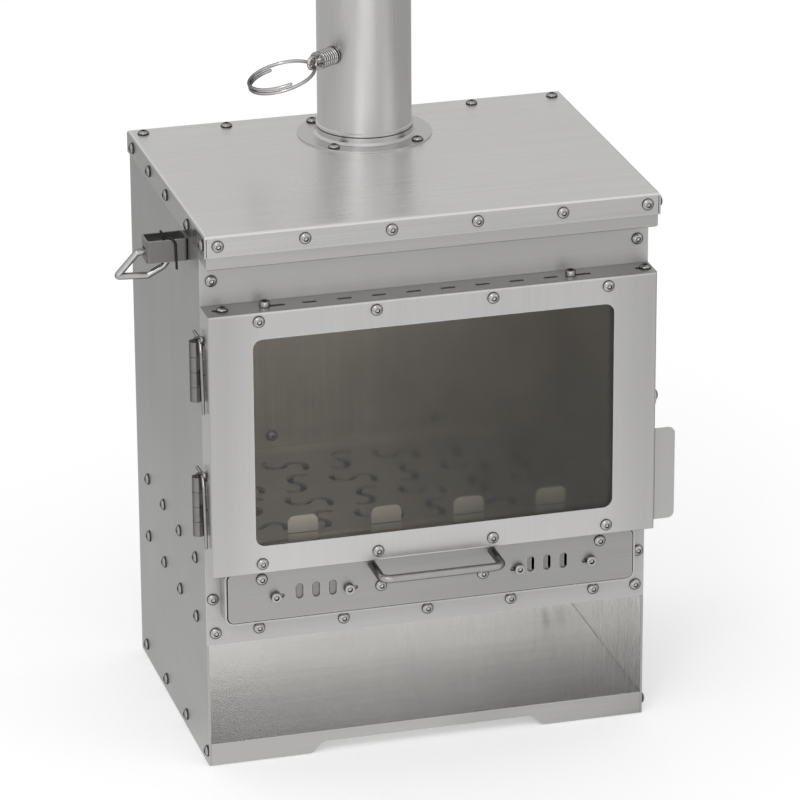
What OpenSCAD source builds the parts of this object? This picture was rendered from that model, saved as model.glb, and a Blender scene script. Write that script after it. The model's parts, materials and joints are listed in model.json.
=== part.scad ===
// Tent wood stove: folded stainless body with a glazed front door, log bay, ash drawer,
// flue collar and damper pipe. Millimetres, +Z up, X to the right seen from the front,
// -Y towards the front. The origin is on the ground under the middle of the body.

/* [Body] */
// Width over the side panels
body_w = 400; // [390:1:440]
// Depth from the face of the front plate to the face of the back panel
body_d = 265; // [255:1:320]
// Height of the side panels
side_h = 503; // [500:1:540]
// Thickness of the side panels
side_t = 2; // [1.5:0.1:2.5]
// Thickness of the other folded sheet
sheet = 1.5; // [1.2:0.1:1.8]
// Width of the side panels' front and back flanges
side_flange = 20; // [18:1:24]

/* [Cover] */
// Depth of the cover's folded lip
lip_h = 20; // [17:1:24]
// How far the hood under the cover stands out in front of the body
hood_out = 26; // [20:1:32]
// Height of the hood
hood_h = 31; // [28:1:36]
// Outside radius of the folded edges
bend_r = 3; // [2:0.5:4]
// Width of the back panel's top flange
top_flange = 26; // [22:1:32]

/* [Base and log bay] */
// Height of the base skirt, up to the floor of the log bay
base_h = 20.5; // [18:0.5:26]
// Length of each foot along the front skirt
foot_l = 94; // [70:1:120]
// Height of the gap under the front skirt
foot_gap = 10; // [6:0.5:12]
// Clear height of the log bay
bay_h = 95; // [85:1:105]

/* [Firebox] */
// Height of the ash compartment, from the bay's ceiling to the door
ash_h = 75; // [72:1:82]
// Height of the hearth plate's top above the bay's ceiling
hearth_rise = 76; // [74:1:80]
// Width of the firebox mouth
mouth_w = 330; // [310:1:336]
// Clear height of the firebox mouth
mouth_h = 209; // [180:1:212]
// Height of the mouth's lower edge above the hearth
mouth_lip = 14.5; // [12:0.5:18]
// Width of one log stop on the mouth's lower edge
stop_w = 27; // [20:1:32]
// Height of the log stops
stop_h = 24; // [15:1:28]
// Spacing of the log stops
stop_pitch = 75; // [65:1:85]
// Height of the smoke baffle above the hearth
baffle_rise = 236; // [225:1:255]
// Depth of the gap in front of the smoke baffle
baffle_gap = 70; // [55:1:90]

/* [Grate] */
// Width of the grate
grate_w = 338; // [320:1:345]
// Depth of the grate
grate_d = 190; // [170:1:205]
// Thickness of the grate
grate_t = 3; // [2.5:0.5:5]
// Centre-line radius of the wavy slots
wave_r = 10; // [9:0.5:11]
// Width of the wavy slots
wave_slot = 6.5; // [5:0.5:7]
// Slots in each row
wave_cols = 6; // [4:1:6]
// Rows of slots
wave_rows = 4; // [2:1:4]

/* [Door] */
// Height of the door
door_h = 241; // [238:1:246]
// Depth of the door box
door_d = 27; // [25:0.5:30]
// Width of the window
window_w = 322; // [290:1:324]
// Height of the window
window_h = 190.5; // [170:0.5:192]
// Height of the window's lower edge above the door's
window_rise = 25.7; // [24.5:0.1:27]
// Corner radius of the window
window_r = 8.5; // [5:0.5:12]
// Thickness of the glass
glass_t = 4; // [3:0.5:5]
// Thickness of the door's rope gasket
rope_t = 5; // [4:0.5:6]
// Width of the door's rope gasket
rope_w = 10; // [8:0.5:12]
// Radius of the hinge knuckles
knuckle_r = 5; // [4.5:0.1:5.5]
// Length of one hinge knuckle
knuckle_l = 13.4; // [12:0.1:15]
// Radius of the hinge pins
pin_r = 1.6; // [1.4:0.1:2]
// Height of the lower hinge above the door's lower edge
hinge_rise = 31.5; // [25:0.5:40]
// Distance between the hinges
hinge_pitch = 124.6; // [110:0.1:140]

/* [Air wash vent] */
// Slots in the door's top wall
dash_count = 8; // [5:1:8]
// Length of each of these slots
dash_l = 13.5; // [10:0.5:14]
// Width of each of these slots
dash_w = 4; // [3:0.5:5]
// Spacing of these slots
dash_pitch = 30.7; // [30:0.1:31]
// Travel of the vent slide
vent_travel = 16; // [14.5:0.5:16]

/* [Latch] */
// Height of the latch pivot above the door's lower edge
latch_rise = 122; // [115:1:135]
// Width of the finger tab
tab_w = 20; // [18:1:26]
// Height of the finger tab
tab_h = 86; // [60:1:90]
// Distance from the pivot to the tab's upper edge
tab_drop = 30; // [24:1:34]
// Length of the arm behind the pivot
latch_arm = 34; // [30:1:38]

/* [Ash drawer] */
// Width of the drawer's face
face_w = 368; // [350:0.2:369.4]
// Height of the drawer's face
face_h = 46; // [45:0.1:46.2]
// Height of the drawer face's lower edge above the bay's ceiling
face_rise = 25.6; // [25.3:0.1:25.7]
// How far the drawer's collar stands out of the front plate
collar_out = 14.5; // [12:0.5:16]
// Depth of the drawer tray
tray_d = 235; // [200:1:240]
// Wall of the drawer tray
tray_t = 1.2; // [1:0.1:1.5]
// Height of the drawer tray
tray_h = 42; // [38:1:43]
// Width between the middles of the handle's arms
handle_w = 109; // [90:1:120]
// Reach of the handle in front of the drawer's face
handle_out = 35; // [30:1:45]
// Radius of the handle rod
handle_r = 3.6; // [3:0.1:4]
// Travel of the drawer
drawer_travel = 200; // [150:5:220]

/* [Air intakes] */
// Distance from the drawer's middle to the middle of each intake
intake_x = 105; // [100:1:110]
// Slots in each intake
intake_count = 3; // [2:1:3]
// Spacing of the intake slots
intake_pitch = 15; // [14:0.5:16]
// Length of the intake slots
intake_l = 15; // [12:0.5:16]
// Width of the intake slots
intake_w = 7; // [5:0.5:7]
// Distance between the two screws of one intake slide
intake_span = 66; // [60:1:70]
// Travel of the intake slides
intake_travel = 6; // [5:0.5:7]
// Offset of an intake slide's windows from the middle of its screws
intake_shift = 2.4; // [1.5:0.1:4]

/* [Flue] */
// Outside radius of the flue pipe
pipe_r = 42; // [40:0.5:44]
// Wall of the flue pipe
pipe_t = 1; // [0.8:0.1:1.2]
// Height of the flue pipe above the collar
pipe_h = 190; // [170:5:260]
// Outside radius of the reduced upper end
spigot_r = 40.6; // [38.5:0.1:40.8]
// Length of the reduced upper end
spigot_l = 30; // [20:1:45]
// Distance from the pipe's axis to the back panel's face
flue_back = 64; // [62:0.5:90]
// Radius of the collar's flange
flange_r = 60; // [58:0.5:64]
// Height of the collar's upstand
upstand_h = 8; // [6:0.5:12]
// Radius of the collar's bolt circle
collar_bolt_r = 54; // [52.5:0.5:55]

/* [Damper] */
// Height of the damper shaft above the cover
damper_z = 82; // [60:1:95]
// Angle of the damper shaft towards the front
damper_angle = 35; // [30:1:45]
// Radius of the damper shaft
shaft_r = 3; // [2.5:0.1:3.5]
// Gap between the damper plate and the pipe
damper_gap = 1.5; // [1:0.1:2.5]
// Outside radius of the spring
spring_r = 8; // [7:0.1:9]
// Radius of the spring wire
spring_wire = 0.9; // [0.8:0.1:1.1]
// Turns of the spring
spring_turns = 6; // [4:1:7]
// Rise of the spring for each turn
spring_pitch = 2.9; // [2.8:0.1:3.6]
// Outside radius of the split ring
ring_r = 31; // [26:0.5:33]
// Radius of the split ring's wire
ring_wire = 1.5; // [1.3:0.1:1.7]
// Angle between the damper shaft and the split ring, seen from above
ring_yaw = 30; // [0:1:30]
// Angle at which the split ring droops
ring_droop = 15; // [10:1:30]

/* [Side bracket and bail] */
// How far the bracket stands out of the side panel
bracket_out = 36; // [34:1:40]
// Depth of the bracket from front to back
bracket_d = 22; // [22:1:28]
// Height of the bracket
bracket_h = 20; // [18:1:24]
// Distance from the front plate to the bracket's front wall
bracket_back = 40.5; // [38:0.5:60]
// Distance from the cover to the bracket's top edge
bracket_drop = 25; // [22:1:40]
// Radius of the bail wire
bail_r = 3; // [2.5:0.1:3.2]

/* [Screws] */
// Radius of the button heads
head_r = 5.25; // [4.75:0.05:5.5]
// Height of the button heads
head_h = 3.3; // [2.6:0.1:3.6]
// Radius of the screw shanks
screw_r = 3; // [2.5:0.1:3]
// Length of the body screws
screw_l = 8; // [7:0.5:10]

/* [Hidden] */

$fn = 48;

// Clearances
fit = 0.05;         // running fit of a shaft or shank in its hole
seat = 0.2;         // sheet pieces that slip into or over each other
run = 0.3;          // curved or moving faces of different bodies
eps = 0.01;         // overshoot of cutting bodies

// Levels, from the ground up
z_ash = base_h + bay_h;
z_door = z_ash + ash_h;
z_hearth = z_ash + hearth_rise;
z_mouth = z_hearth + mouth_lip;
z_door_top = z_door + door_h;
z_baffle = z_hearth + baffle_rise;
z_top = side_h + sheet;
z_lip = z_top - lip_h;

// Planes across the body
front = -body_d / 2;
back = body_d / 2;
side = body_w / 2;
inside = side - side_t;
pan = inside - seat;
flange_front = front + sheet + side_t;
flange_back = back - sheet - side_t;
clear_front = flange_front + seat;
clear_back = flange_back - seat;
tongue = side - side_flange - seat;

// Cover and hood
hood_front = front - hood_out;
cover_side = side + seat + sheet;
cover_front = hood_front - seat - sheet;
cover_back = back + seat + sheet;
corner_gap = 0.6;
flue_y = back - flue_back;
flue_hole = pipe_r + 1.8;
upstand_t = 1.2;

// Door
door_back = front - run;
door_front = door_back - door_d;
glass_y = door_front + sheet + 0.4;
glass_rim = 7;
glass_back = glass_y + glass_t;
retainer_y = glass_back + 0.4;
retainer_w = window_w + 32;
retainer_h = window_h + 42;
retainer_lap = 5;
z_window = z_door + window_rise;
z_window_mid = z_window + window_h / 2;
rope_front = door_back - rope_t;
hinge_x = -side - knuckle_r - run;
hinge_y = door_back;
knuckle_gap = 0.4;
knuckle_step = knuckle_l + knuckle_gap;
vent_y = (door_front + door_back) / 2;
vent_z = z_door_top - sheet - run;
vent_t = 1.2;
vent_w = 12;
knob_shank = 2;
knob_slot = knob_shank + 0.3;
knob_head_r = 4.6;
knob_head_h = 5;
knob_bite = 5;
vent_knob_x = [-147, 125.3];
corner_x = [-side + 16, side - 7];
ear_w = 7;
ear_d = 14;

// Latch
latch_t = 1.5;
latch_x = side + 0.5;
latch_y = vent_y;
latch_z = z_door + latch_rise;
latch_eye = 9;
latch_leg = 13;
tab_y = door_front + 7;
arm_h = 13;
keeper_gap = 0.6;
keeper_t = 1.2;
keeper_h = 26;
keeper_reach = 14;
keeper_y = latch_y + latch_arm + 12;

// Drawer
z_face = z_ash + face_rise;
z_face_mid = z_face + face_h / 2;
face_gap = 1.1;
collar_r = 8;
collar_w = face_w + 2 * (face_gap + sheet);
collar_h = face_h + 2 * (face_gap + sheet);
face_y = front - collar_out - 1;
opening_w = collar_w - 2 * sheet;
opening_h = collar_h - 2 * sheet;
tray_y = face_y + sheet;
tray_w = 2 * (tongue - 0.5);
z_tray = z_face + 1.5;
runner_x = tray_w / 2 - 12;
runner_w = 12;
handle_z = z_face_mid + 18;
handle_bend = 8;
intake_z = z_face_mid + 1;
intake_knob_z = z_face_mid - 1.6;
slide_h = 19;
slide_w = intake_span + 2 * 9;
slide_room = intake_travel + 3;
slide_y = tray_y + seat;
slide_t = 1;

// Flue and damper
z_pipe = z_top - 8;
z_bead = z_top + upstand_h + seat;
bead_h = 4;
bead_out = 1.4;
z_pipe_top = z_top + pipe_h;
z_damper = z_top + damper_z;
bore_r = pipe_r - pipe_t;
washer_t = 1;
spring_start = pipe_r + run + washer_t + 0.1;
spring_len = spring_turns * spring_pitch;
spring_end = spring_start + spring_len + 2 * spring_wire + 0.1;
eye_hole = 3.6;
eye_wire = 1.6;
eye_at = spring_end + washer_t + eye_hole + 2 * eye_wire - 0.6;
ring_seat = eye_hole - ring_wire - run;

// Bracket and bail
bracket_r = 3;
z_bracket = z_top - bracket_drop;
bracket_front = front + bracket_back;
bracket_mid = bracket_front + bracket_d / 2;
bail_z = z_bracket - bracket_h / 2;
clip_wire = 1.1;
rivet_r = 1.9;
rivet_head_r = 3.2;
clip_x = side + 20;

// Screw positions, shared by the screws and by the holes they pass through
lip_screw_z = z_top - 10;
lip_pitch = (body_w - 20) / 5;
lip_screws = [for (i = [-2.5:2.5]) [i * lip_pitch, cover_front, lip_screw_z]];
lip_inset = 20.5;
lip_step = body_d / 4 - 0.5;
function side_lip(s) = [for (y = [back - lip_inset, back - lip_inset - lip_step,
    back - lip_inset - 2 * lip_step, front + body_d / 8, hood_front + 5.5])
    [s * cover_side, y, lip_screw_z]];
top_screws = [for (i = [-2.5:2.5]) if (abs(i) > 1) [i * lip_pitch, back - 13.5, z_top]];
function side_rows(s) = concat(
    [for (z = [z_hearth - 6, z_ash + 14], i = [0:3]) [s * side, front + 35.5 + i * 62, z]],
    [for (i = [0:3]) [s * side, front + 5.2 + i * (body_d - 28) / 3, 12.5]]);
plate_corners = [for (s = [-1, 1], q = [[10, z_door_top + 22.5], [6, z_ash + 44], [8, z_ash + 11.5]])
    [s * (side - q[0]), front, q[1]]];
plate_row = [for (i = [-2:2]) [i * 76.4, front, z_ash + 12]];
back_rows = [for (s = [-1, 1], i = [0:3]) [s * (side - 10), back, 60 + i * 125]];
liner_y = clear_back - 10;
liner_h = mouth_h - 4;
liner_screw_x = 77;
collar_bolts = [for (a = [45:90:315]) [collar_bolt_r * cos(a), flue_y + collar_bolt_r * sin(a),
    z_top + sheet]];
door_screw_x = window_w / 2 - window_r + 3;
door_rows = [for (i = [-1.5:1.5], z = [z_window - 16.5, z_window + window_h + 16.5])
    [i * door_screw_x / 1.5, door_front, z]];
door_corners = [for (x = corner_x) [x, vent_y, z_door_top]];
vent_knob_pos = [for (x = vent_knob_x) [x, vent_y, z_door_top + seat]];
drawer_rows = [for (s = [-1, 1], q = [[46.4, -2.5], [153.6, 16]]) [s * q[0], face_y,
    z_face_mid + q[1]]];
function intake_knob_x(s) = s < 0 ? [for (i = [-1, 1]) -intake_x - 3.6 + i * intake_span / 2]
                                  : [for (i = [-1, 1]) intake_x + 7.2 + i * intake_span / 2];
function intake_knob_pos(s) = [for (x = intake_knob_x(s)) [x, face_y - seat, intake_knob_z]];
rivet_pos = [for (i = [-1, 1]) [-side - sheet, bracket_mid + i * 4.7, bail_z]];
liner_bolts = [for (s = [-1, 1], z = [z_hearth + 12, z_hearth + liner_h - 15]) [s * liner_screw_x,
    liner_y, z]];
latch_pivot = [[side, latch_y, latch_z]];
keeper_bolts = [for (i = [-1, 1]) [side + keeper_t, keeper_y + 13, latch_z + i * 8]];

// Turns the local +Z axis to the named outward direction
module outward(dir) {
    rotate(dir == "front" ? [90, 0, 0] : dir == "back" ? [-90, 0, 0]
         : dir == "left" ? [0, -90, 0] : dir == "right" ? [0, 90, 0] : [0, 0, 0])
        children();
}

module at_each(points, dir) {
    for (p = points) translate(p) outward(dir) children();
}

// Holes along the local -Z axis below each point
module drill(points, dir, r, depth) {
    at_each(points, dir) translate([0, 0, -depth]) cylinder(h = depth + 5, r = r);
}

module box(from, to) {
    translate(from) cube(to - from);
}

module round_rect(w, h, r) {
    square([w - 2 * r, h], center = true);
    square([w, h - 2 * r], center = true);
    for (x = [-1, 1], y = [-1, 1]) translate([x * (w / 2 - r), y * (h / 2 - r)]) circle(r);
}

module slot(l, w) {
    if (l > w) square([l - w, w], center = true);
    for (s = [-1, 1]) translate([s * (l - w) / 2, 0]) circle(d = w);
}

// Extrudes a profile drawn in X and Z from one depth to another
module along_y(y0, y1) {
    translate([0, y1, 0]) rotate([90, 0, 0]) linear_extrude(y1 - y0) children();
}

// Extrudes a profile drawn in Y and Z from one side to the other
module along_x(x0, x1) {
    translate([x0, 0, 0]) rotate([90, 0, 90]) linear_extrude(x1 - x0) children();
}

// Button head screw with a hexagon socket, seated at the origin with its head towards +Z
module button_screw(length, shank = screw_r) {
    difference() {
        union() {
            rotate_extrude($fn = 32) polygon([[0, 0], [head_r, 0], [head_r, head_h * 0.25],
                [head_r * 0.9, head_h * 0.62], [head_r * 0.66, head_h * 0.9],
                [head_r * 0.4, head_h], [0, head_h]]);
            translate([0, 0, -length]) cylinder(h = length + eps, r = shank, $fn = 32);
        }
        translate([0, 0, head_h * 0.4]) cylinder(h = head_h, r = head_r * 0.36, $fn = 6);
    }
}

// Cap screw used as a knob
module knob_screw() {
    difference() {
        union() {
            rotate_extrude($fn = 32) polygon([[0, 0], [knob_head_r, 0],
                [knob_head_r, knob_head_h - 0.8], [knob_head_r - 0.8, knob_head_h],
                [0, knob_head_h]]);
            translate([0, 0, -knob_bite]) cylinder(h = knob_bite + eps, r = knob_shank, $fn = 32);
        }
        translate([0, 0, knob_head_h * 0.5]) cylinder(h = knob_head_h, r = knob_head_r * 0.5, $fn = 6);
    }
}

// Round wire along a smooth path: rings of points joined to one closed tube.
// The frame of each ring turns with the path and never twists about it.
function unit(v) = v / norm(v);
function tangent(p, i) = unit(p[min(i + 1, len(p) - 1)] - p[max(i - 1, 0)]);
function carried(n, t) = unit(n - t * (n * t));
function frames(p, n0, i = 0, out = []) = i == len(p) ? out
    : let (t = tangent(p, i), n = carried(i == 0 ? n0 : out[i - 1], t))
      frames(p, n0, i + 1, concat(out, [n]));

module wire(p, r, sides, n0) {
    n = frames(p, n0);
    rings = len(p);
    points = [for (i = [0:rings - 1]) let (b = cross(tangent(p, i), n[i]))
        for (k = [0:sides - 1]) p[i] + r * (cos(360 * k / sides) * n[i] + sin(360 * k / sides) * b)];
    walls = [for (i = [0:rings - 2], k = [0:sides - 1]) let (a = i * sides, m = (k + 1) % sides)
        each [[a + k, a + sides + k, a + sides + m], [a + k, a + sides + m, a + m]]];
    start = [for (k = [1:sides - 2]) [0, k, k + 1]];
    last = (rings - 1) * sides;
    end = [for (k = [1:sides - 2]) [last, last + k + 1, last + k]];
    polyhedron(points, concat(walls, start, end));
}

// Round rod in the local XY plane along the given corners: straight runs, and elbows of
// bend radius b that meet them tangentially. A closed rod starts and ends in mid-run.
function turn(a, b, c) = let (u = unit(b - a), v = unit(c - b))
    atan2(u[0] * v[1] - u[1] * v[0], u * v);
function trim(p, i, b) = i <= 0 || i >= len(p) - 1 ? 0
    : b * tan(abs(turn(p[i - 1], p[i], p[i + 1])) / 2);

module rod(p, r, b) {
    for (i = [0:len(p) - 2]) {
        u = unit(p[i + 1] - p[i]);
        a = p[i] + trim(p, i, b) * u;
        l = norm(p[i + 1] - p[i]) - trim(p, i, b) - trim(p, i + 1, b);
        translate(a) rotate([0, 0, atan2(u[1], u[0])]) rotate([0, 90, 0]) cylinder(h = l, r = r);
    }
    for (i = [1:len(p) - 2]) {
        u = unit(p[i] - p[i - 1]);
        t = turn(p[i - 1], p[i], p[i + 1]);
        s = sign(t);
        start = p[i] - trim(p, i, b) * u;
        centre = start + b * s * [-u[1], u[0]];
        translate(centre) rotate([0, 0, atan2(u[1], u[0]) - s * 90 + min(t, 0)])
            rotate_extrude(angle = abs(t)) translate([b, 0]) circle(r);
    }
}

// Corner points of a bent wire, each inner corner replaced by an arc of points
function bent(p, r, steps = 5) = [for (i = [0:len(p) - 1])
    each (i == 0 || i == len(p) - 1) ? [p[i]] : corner(p[i - 1], p[i], p[i + 1], r, steps)];
function corner(a, b, c, r, steps) = let (u = unit(a - b), v = unit(c - b),
        half = acos(u * v) / 2, m = unit(u + v), o = b + m * r / sin(half),
        sweep = 90 - half, w = unit(u - v))
    [for (k = [0:steps]) let (t = -sweep + 2 * sweep * k / steps)
        o + r * (-m * cos(t) - w * sin(t))];

// ---------------------------------------------------------------- body

// Body sheet whose top edges are eased to fit the bends inside the cover
module under_cover() {
    intersection() {
        children();
        rounded_top(side, hood_front, back, -1, side_h, bend_r - sheet);
    }
}

module side_panel(s) {
    difference() {
        mirror([s < 0 ? 1 : 0, 0, 0]) under_cover() union() {
            box([inside, front, 0], [side, back - sheet, z_ash]);
            box([inside, front + sheet, z_ash], [side, back - sheet, side_h]);
            box([side - side_flange, front + sheet, z_ash], [side, flange_front, side_h]);
            box([side - side_flange, flange_back, base_h + seat],
                [side, back - sheet, side_h - sheet - seat]);
        }
        drill(side_lip(s), s < 0 ? "left" : "right", screw_r + fit, 12);
        drill(side_rows(s), s < 0 ? "left" : "right", screw_r + fit, 12);
        drill(plate_corners, "front", screw_r + fit, 12);
        drill(back_rows, "back", screw_r + fit, 12);
        if (s < 0) drill(rivet_pos, "left", rivet_r + fit, 12);
        if (s > 0) drill(keeper_bolts, "right", screw_r + fit, 12);
    }
}

module side_panel_left() {
    color("#9a9896") side_panel(-1);
}

module side_panel_right() {
    color("#9a9896") side_panel(1);
}

module back_panel() {
    color("#a3a19e") difference() {
        under_cover() union() {
            box([-side, back - sheet, 0], [side, back, side_h]);
            box([-inside + 1, back - sheet - top_flange, side_h - sheet], [inside - 1, back - sheet / 2,
                side_h]);
        }
        drill(top_screws, "up", screw_r + fit, 12);
        drill(collar_bolts, "up", screw_r + fit, 12);
        drill(back_rows, "back", screw_r + fit, 12);
        translate([0, flue_y, side_h - 10]) cylinder(h = 20, r = flue_hole, $fn = 96);
    }
}

module front_plate() {
    color("#adaba8") difference() {
        union() {
            difference() {
                under_cover() box([-side, front, z_ash], [side, front + sheet, side_h]);
                translate([0, front - eps, z_mouth + mouth_h / 2]) rotate([-90, 0, 0])
                    linear_extrude(sheet + 2 * eps) round_rect(mouth_w, mouth_h, 6);
            }
            for (i = [-1.5:1:1.5]) translate([i * stop_pitch, front, z_mouth]) log_stop();
        }
        translate([0, front - eps, z_face_mid]) rotate([-90, 0, 0])
            linear_extrude(sheet + 2 * eps) round_rect(opening_w, opening_h, collar_r - sheet);
        drill(plate_corners, "front", screw_r + fit, 12);
        drill(plate_row, "front", screw_r + fit, 12);
    }
}

// Upstanding tab that keeps logs off the glass
module log_stop() {
    corner_r = 6;
    translate([0, sheet, 0]) rotate([90, 0, 0]) linear_extrude(sheet) {
        translate([-stop_w / 2, -1]) square([stop_w, stop_h + 1 - corner_r]);
        translate([-stop_w / 2 + corner_r, -1]) square([stop_w - 2 * corner_r, stop_h + 1]);
        for (s = [-1, 1]) translate([s * (stop_w / 2 - corner_r), stop_h - corner_r]) circle(corner_r);
    }
}

module base_plate() {
    slope = foot_gap;
    ease = 8;
    color("#b4b2af") difference() {
        box([-pan, front, 0], [pan, back - sheet - seat, base_h]);
        box([-pan + sheet, front + sheet, -eps], [pan - sheet, back - 2 * sheet - seat, base_h - sheet]);
        along_y(front - eps, front + sheet + eps) polygon(bent([[-side + foot_l - ease, -eps],
            [-side + foot_l, 0], [-side + foot_l + slope, foot_gap],
            [side - foot_l - slope, foot_gap], [side - foot_l, 0],
            [side - foot_l + ease, -eps]], ease, 4));
        for (s = [-1, 1]) drill(side_rows(s), s < 0 ? "left" : "right", screw_r + fit, 12);
    }
}

// Plate across the body with side flanges; the tongue between the side panels'
// front flanges reaches the front plate
module pan_plate(z, down, flange) {
    z0 = down ? z - flange : z - sheet;
    z1 = down ? z : z - sheet + flange;
    box([-pan, clear_front, z - sheet], [pan, clear_back, z]);
    box([-tongue, front + sheet, z - sheet], [tongue, clear_front + 1, z]);
    for (s = [-1, 1]) translate([s * (pan - sheet / 2), (clear_front + clear_back) / 2, (z0 + z1) / 2])
        cube([sheet, clear_back - clear_front, z1 - z0], center = true);
}

module ash_floor() {
    flange = 20;
    color("#8f8d8a") difference() {
        union() {
            pan_plate(z_ash + sheet, false, flange);
            box([-tongue, front + sheet, z_ash], [tongue, front + 2 * sheet, z_ash + flange]);
        }
        for (s = [-1, 1]) drill(side_rows(s), s < 0 ? "left" : "right", screw_r + fit, 12);
        drill(plate_row, "front", screw_r + fit, 12);
    }
}

module hearth_plate() {
    color("#7d7b78") difference() {
        pan_plate(z_hearth, true, 14);
        translate([0, 0, z_hearth - sheet - eps]) linear_extrude(sheet + 2 * eps)
            round_rect(grate_w - 40, grate_d - 36, 10);
        for (s = [-1, 1]) drill(side_rows(s), s < 0 ? "left" : "right", screw_r + fit, 12);
    }
}

// One S-shaped slot made of two half rings that turn opposite ways
module wave() {
    for (s = [-1, 1]) translate([s * wave_r, 0]) {
        intersection() {
            difference() {
                circle(wave_r + wave_slot / 2);
                circle(wave_r - wave_slot / 2);
            }
            translate([-2 * wave_r, s > 0 ? 0 : -2 * wave_r]) square([4 * wave_r, 2 * wave_r]);
        }
        translate([s * wave_r, 0]) circle(wave_slot / 2);
    }
}

module fire_grate() {
    step_x = (grate_w - 24) / wave_cols;
    step_y = (grate_d - 16) / wave_rows;
    color("#6e6c6a") translate([0, 0, z_hearth]) difference() {
        linear_extrude(grate_t) difference() {
            round_rect(grate_w, grate_d, 5);
            for (i = [0:wave_cols - 1], j = [0:wave_rows - 1])
                translate([(i - (wave_cols - 1) / 2) * step_x, (j - (wave_rows - 1) / 2) * step_y])
                    rotate((i + j) % 2 == 0 ? -35 : 55) wave();
        }
    }
}

module rear_liner() {
    color("#8a8885") difference() {
        union() {
            box([-tongue + 2, liner_y, z_hearth], [tongue - 2, liner_y + sheet, z_hearth + liner_h]);
            box([-tongue + 2, liner_y, z_hearth + liner_h - sheet], [tongue - 2,
                back - sheet - seat, z_hearth + liner_h]);
        }
        drill(liner_bolts, "front", screw_r + fit, 5);
    }
}

// Spacer sleeves are part of the liner's screws, which reach the back panel
module liner_screws() {
    reach = back - sheet - liner_y;
    color("#c9c7c4") at_each(liner_bolts, "front") {
        button_screw(4);
        translate([0, 0, -reach]) cylinder(h = reach - sheet, r = screw_r + 1.5, $fn = 32);
    }
}

module smoke_baffle() {
    y0 = front + baffle_gap;
    color("#7a7876") union() {
        box([-pan + 1, y0, z_baffle], [pan - 1, clear_back, z_baffle + side_t]);
        box([-pan + 1, y0, z_baffle - 10], [pan - 1, y0 + side_t, z_baffle + eps]);
    }
}

module baffle_rests() {
    color("#7a7876") for (s = [-1, 1]) mirror([s < 0 ? 1 : 0, 0, 0]) {
        box([inside - 12, front + baffle_gap + side_t + seat, z_baffle - sheet],
            [inside, clear_back, z_baffle]);
        box([inside - sheet, front + baffle_gap + side_t + seat, z_baffle - 12],
            [inside, clear_back, z_baffle]);
    }
}

module drawer_collar() {
    color("#a5a3a0") translate([0, front, z_face_mid]) rotate([90, 0, 0])
        linear_extrude(collar_out) difference() {
            round_rect(collar_w, collar_h, collar_r);
            round_rect(opening_w, opening_h, collar_r - sheet);
        }
}

module drawer_runners() {
    z0 = z_ash + sheet;
    color("#8f8d8a") for (s = [-1, 1]) mirror([s < 0 ? 1 : 0, 0, 0]) {
        box([runner_x, front + 3 * sheet, z0], [runner_x + sheet, clear_back - 6, z_tray - run]);
        box([runner_x - runner_w, front + 3 * sheet, z_tray - run - sheet],
            [runner_x + sheet, clear_back - 6, z_tray - run]);
        box([runner_x, front + 3 * sheet, z0], [runner_x + runner_w, clear_back - 6, z0 + sheet]);
    }
}

module front_hood() {
    z0 = side_h - hood_h;
    color("#a9a7a4") difference() {
        intersection() {
            under_cover() box([-side, hood_front, z0], [side, front, side_h]);
            along_y(hood_front, front) rounded_foot(side, z0, side_h + 9, bend_r);
            along_x(-side, side) front_foot(hood_front, z0);
        }
        box([-side + sheet, hood_front + sheet, z0 + sheet], [side - sheet, front + eps, side_h + eps]);
        drill(lip_screws, "front", screw_r + fit, 12);
        for (s = [-1, 1]) drill(side_lip(s), s < 0 ? "left" : "right", screw_r + fit, 12);
    }
}

// Profile of a box whose two lower corners are rounded, in X and Z
module rounded_foot(half, z0, z1, r) {
    translate([-half + r, z0]) square([2 * half - 2 * r, z1 - z0]);
    translate([-half, z0 + r]) square([2 * half, z1 - z0 - r]);
    for (s = [-1, 1]) translate([s * (half - r), z0 + r]) circle(r);
}

// Profile of the hood from the side, its lower front corner rounded, in Y and Z
module front_foot(y0, z0) {
    translate([y0 + bend_r, z0]) square([hood_out + 5, hood_h + 5]);
    translate([y0, z0 + bend_r]) square([hood_out + 5, hood_h + 5]);
    translate([y0 + bend_r, z0 + bend_r]) circle(bend_r);
}

// Solid with rounded upper edges on all four sides
module rounded_top(x, y0, y1, z0, z1, r) {
    intersection() {
        along_y(y0, y1) rounded_lid(-x, x, z0, z1, r);
        along_x(-x, x) rounded_lid(y0, y1, z0, z1, r);
    }
}

module rounded_lid(a0, a1, z0, z1, r) {
    translate([a0, z0]) square([a1 - a0, z1 - z0 - r]);
    translate([a0 + r, z0]) square([a1 - a0 - 2 * r, z1 - z0]);
    for (a = [a0 + r, a1 - r]) translate([a, z1 - r]) circle(r);
}

// Folded pan: the front and back lips end at a narrow seam beside each side lip
module top_cover() {
    color("#bcbab7") difference() {
        rounded_top(cover_side, cover_front, cover_back, z_lip, z_top, bend_r);
        rounded_top(cover_side - sheet, cover_front + sheet, cover_back - sheet, z_lip - 9, side_h,
            bend_r - sheet);
        for (s = [-1, 1], y = [cover_front, cover_back - sheet])
            translate([s * (cover_side - sheet - corner_gap / 2) - corner_gap / 2, y - eps, z_lip - eps])
                cube([corner_gap, sheet + 2 * eps, lip_h - bend_r]);
        translate([0, flue_y, side_h - 1]) cylinder(h = 9, r = flue_hole, $fn = 96);
        drill(lip_screws, "front", screw_r + fit, 12);
        for (s = [-1, 1]) drill(side_lip(s), s < 0 ? "left" : "right", screw_r + fit, 12);
        drill(top_screws, "up", screw_r + fit, 12);
        drill(collar_bolts, "up", screw_r + fit, 12);
    }
}

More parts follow.
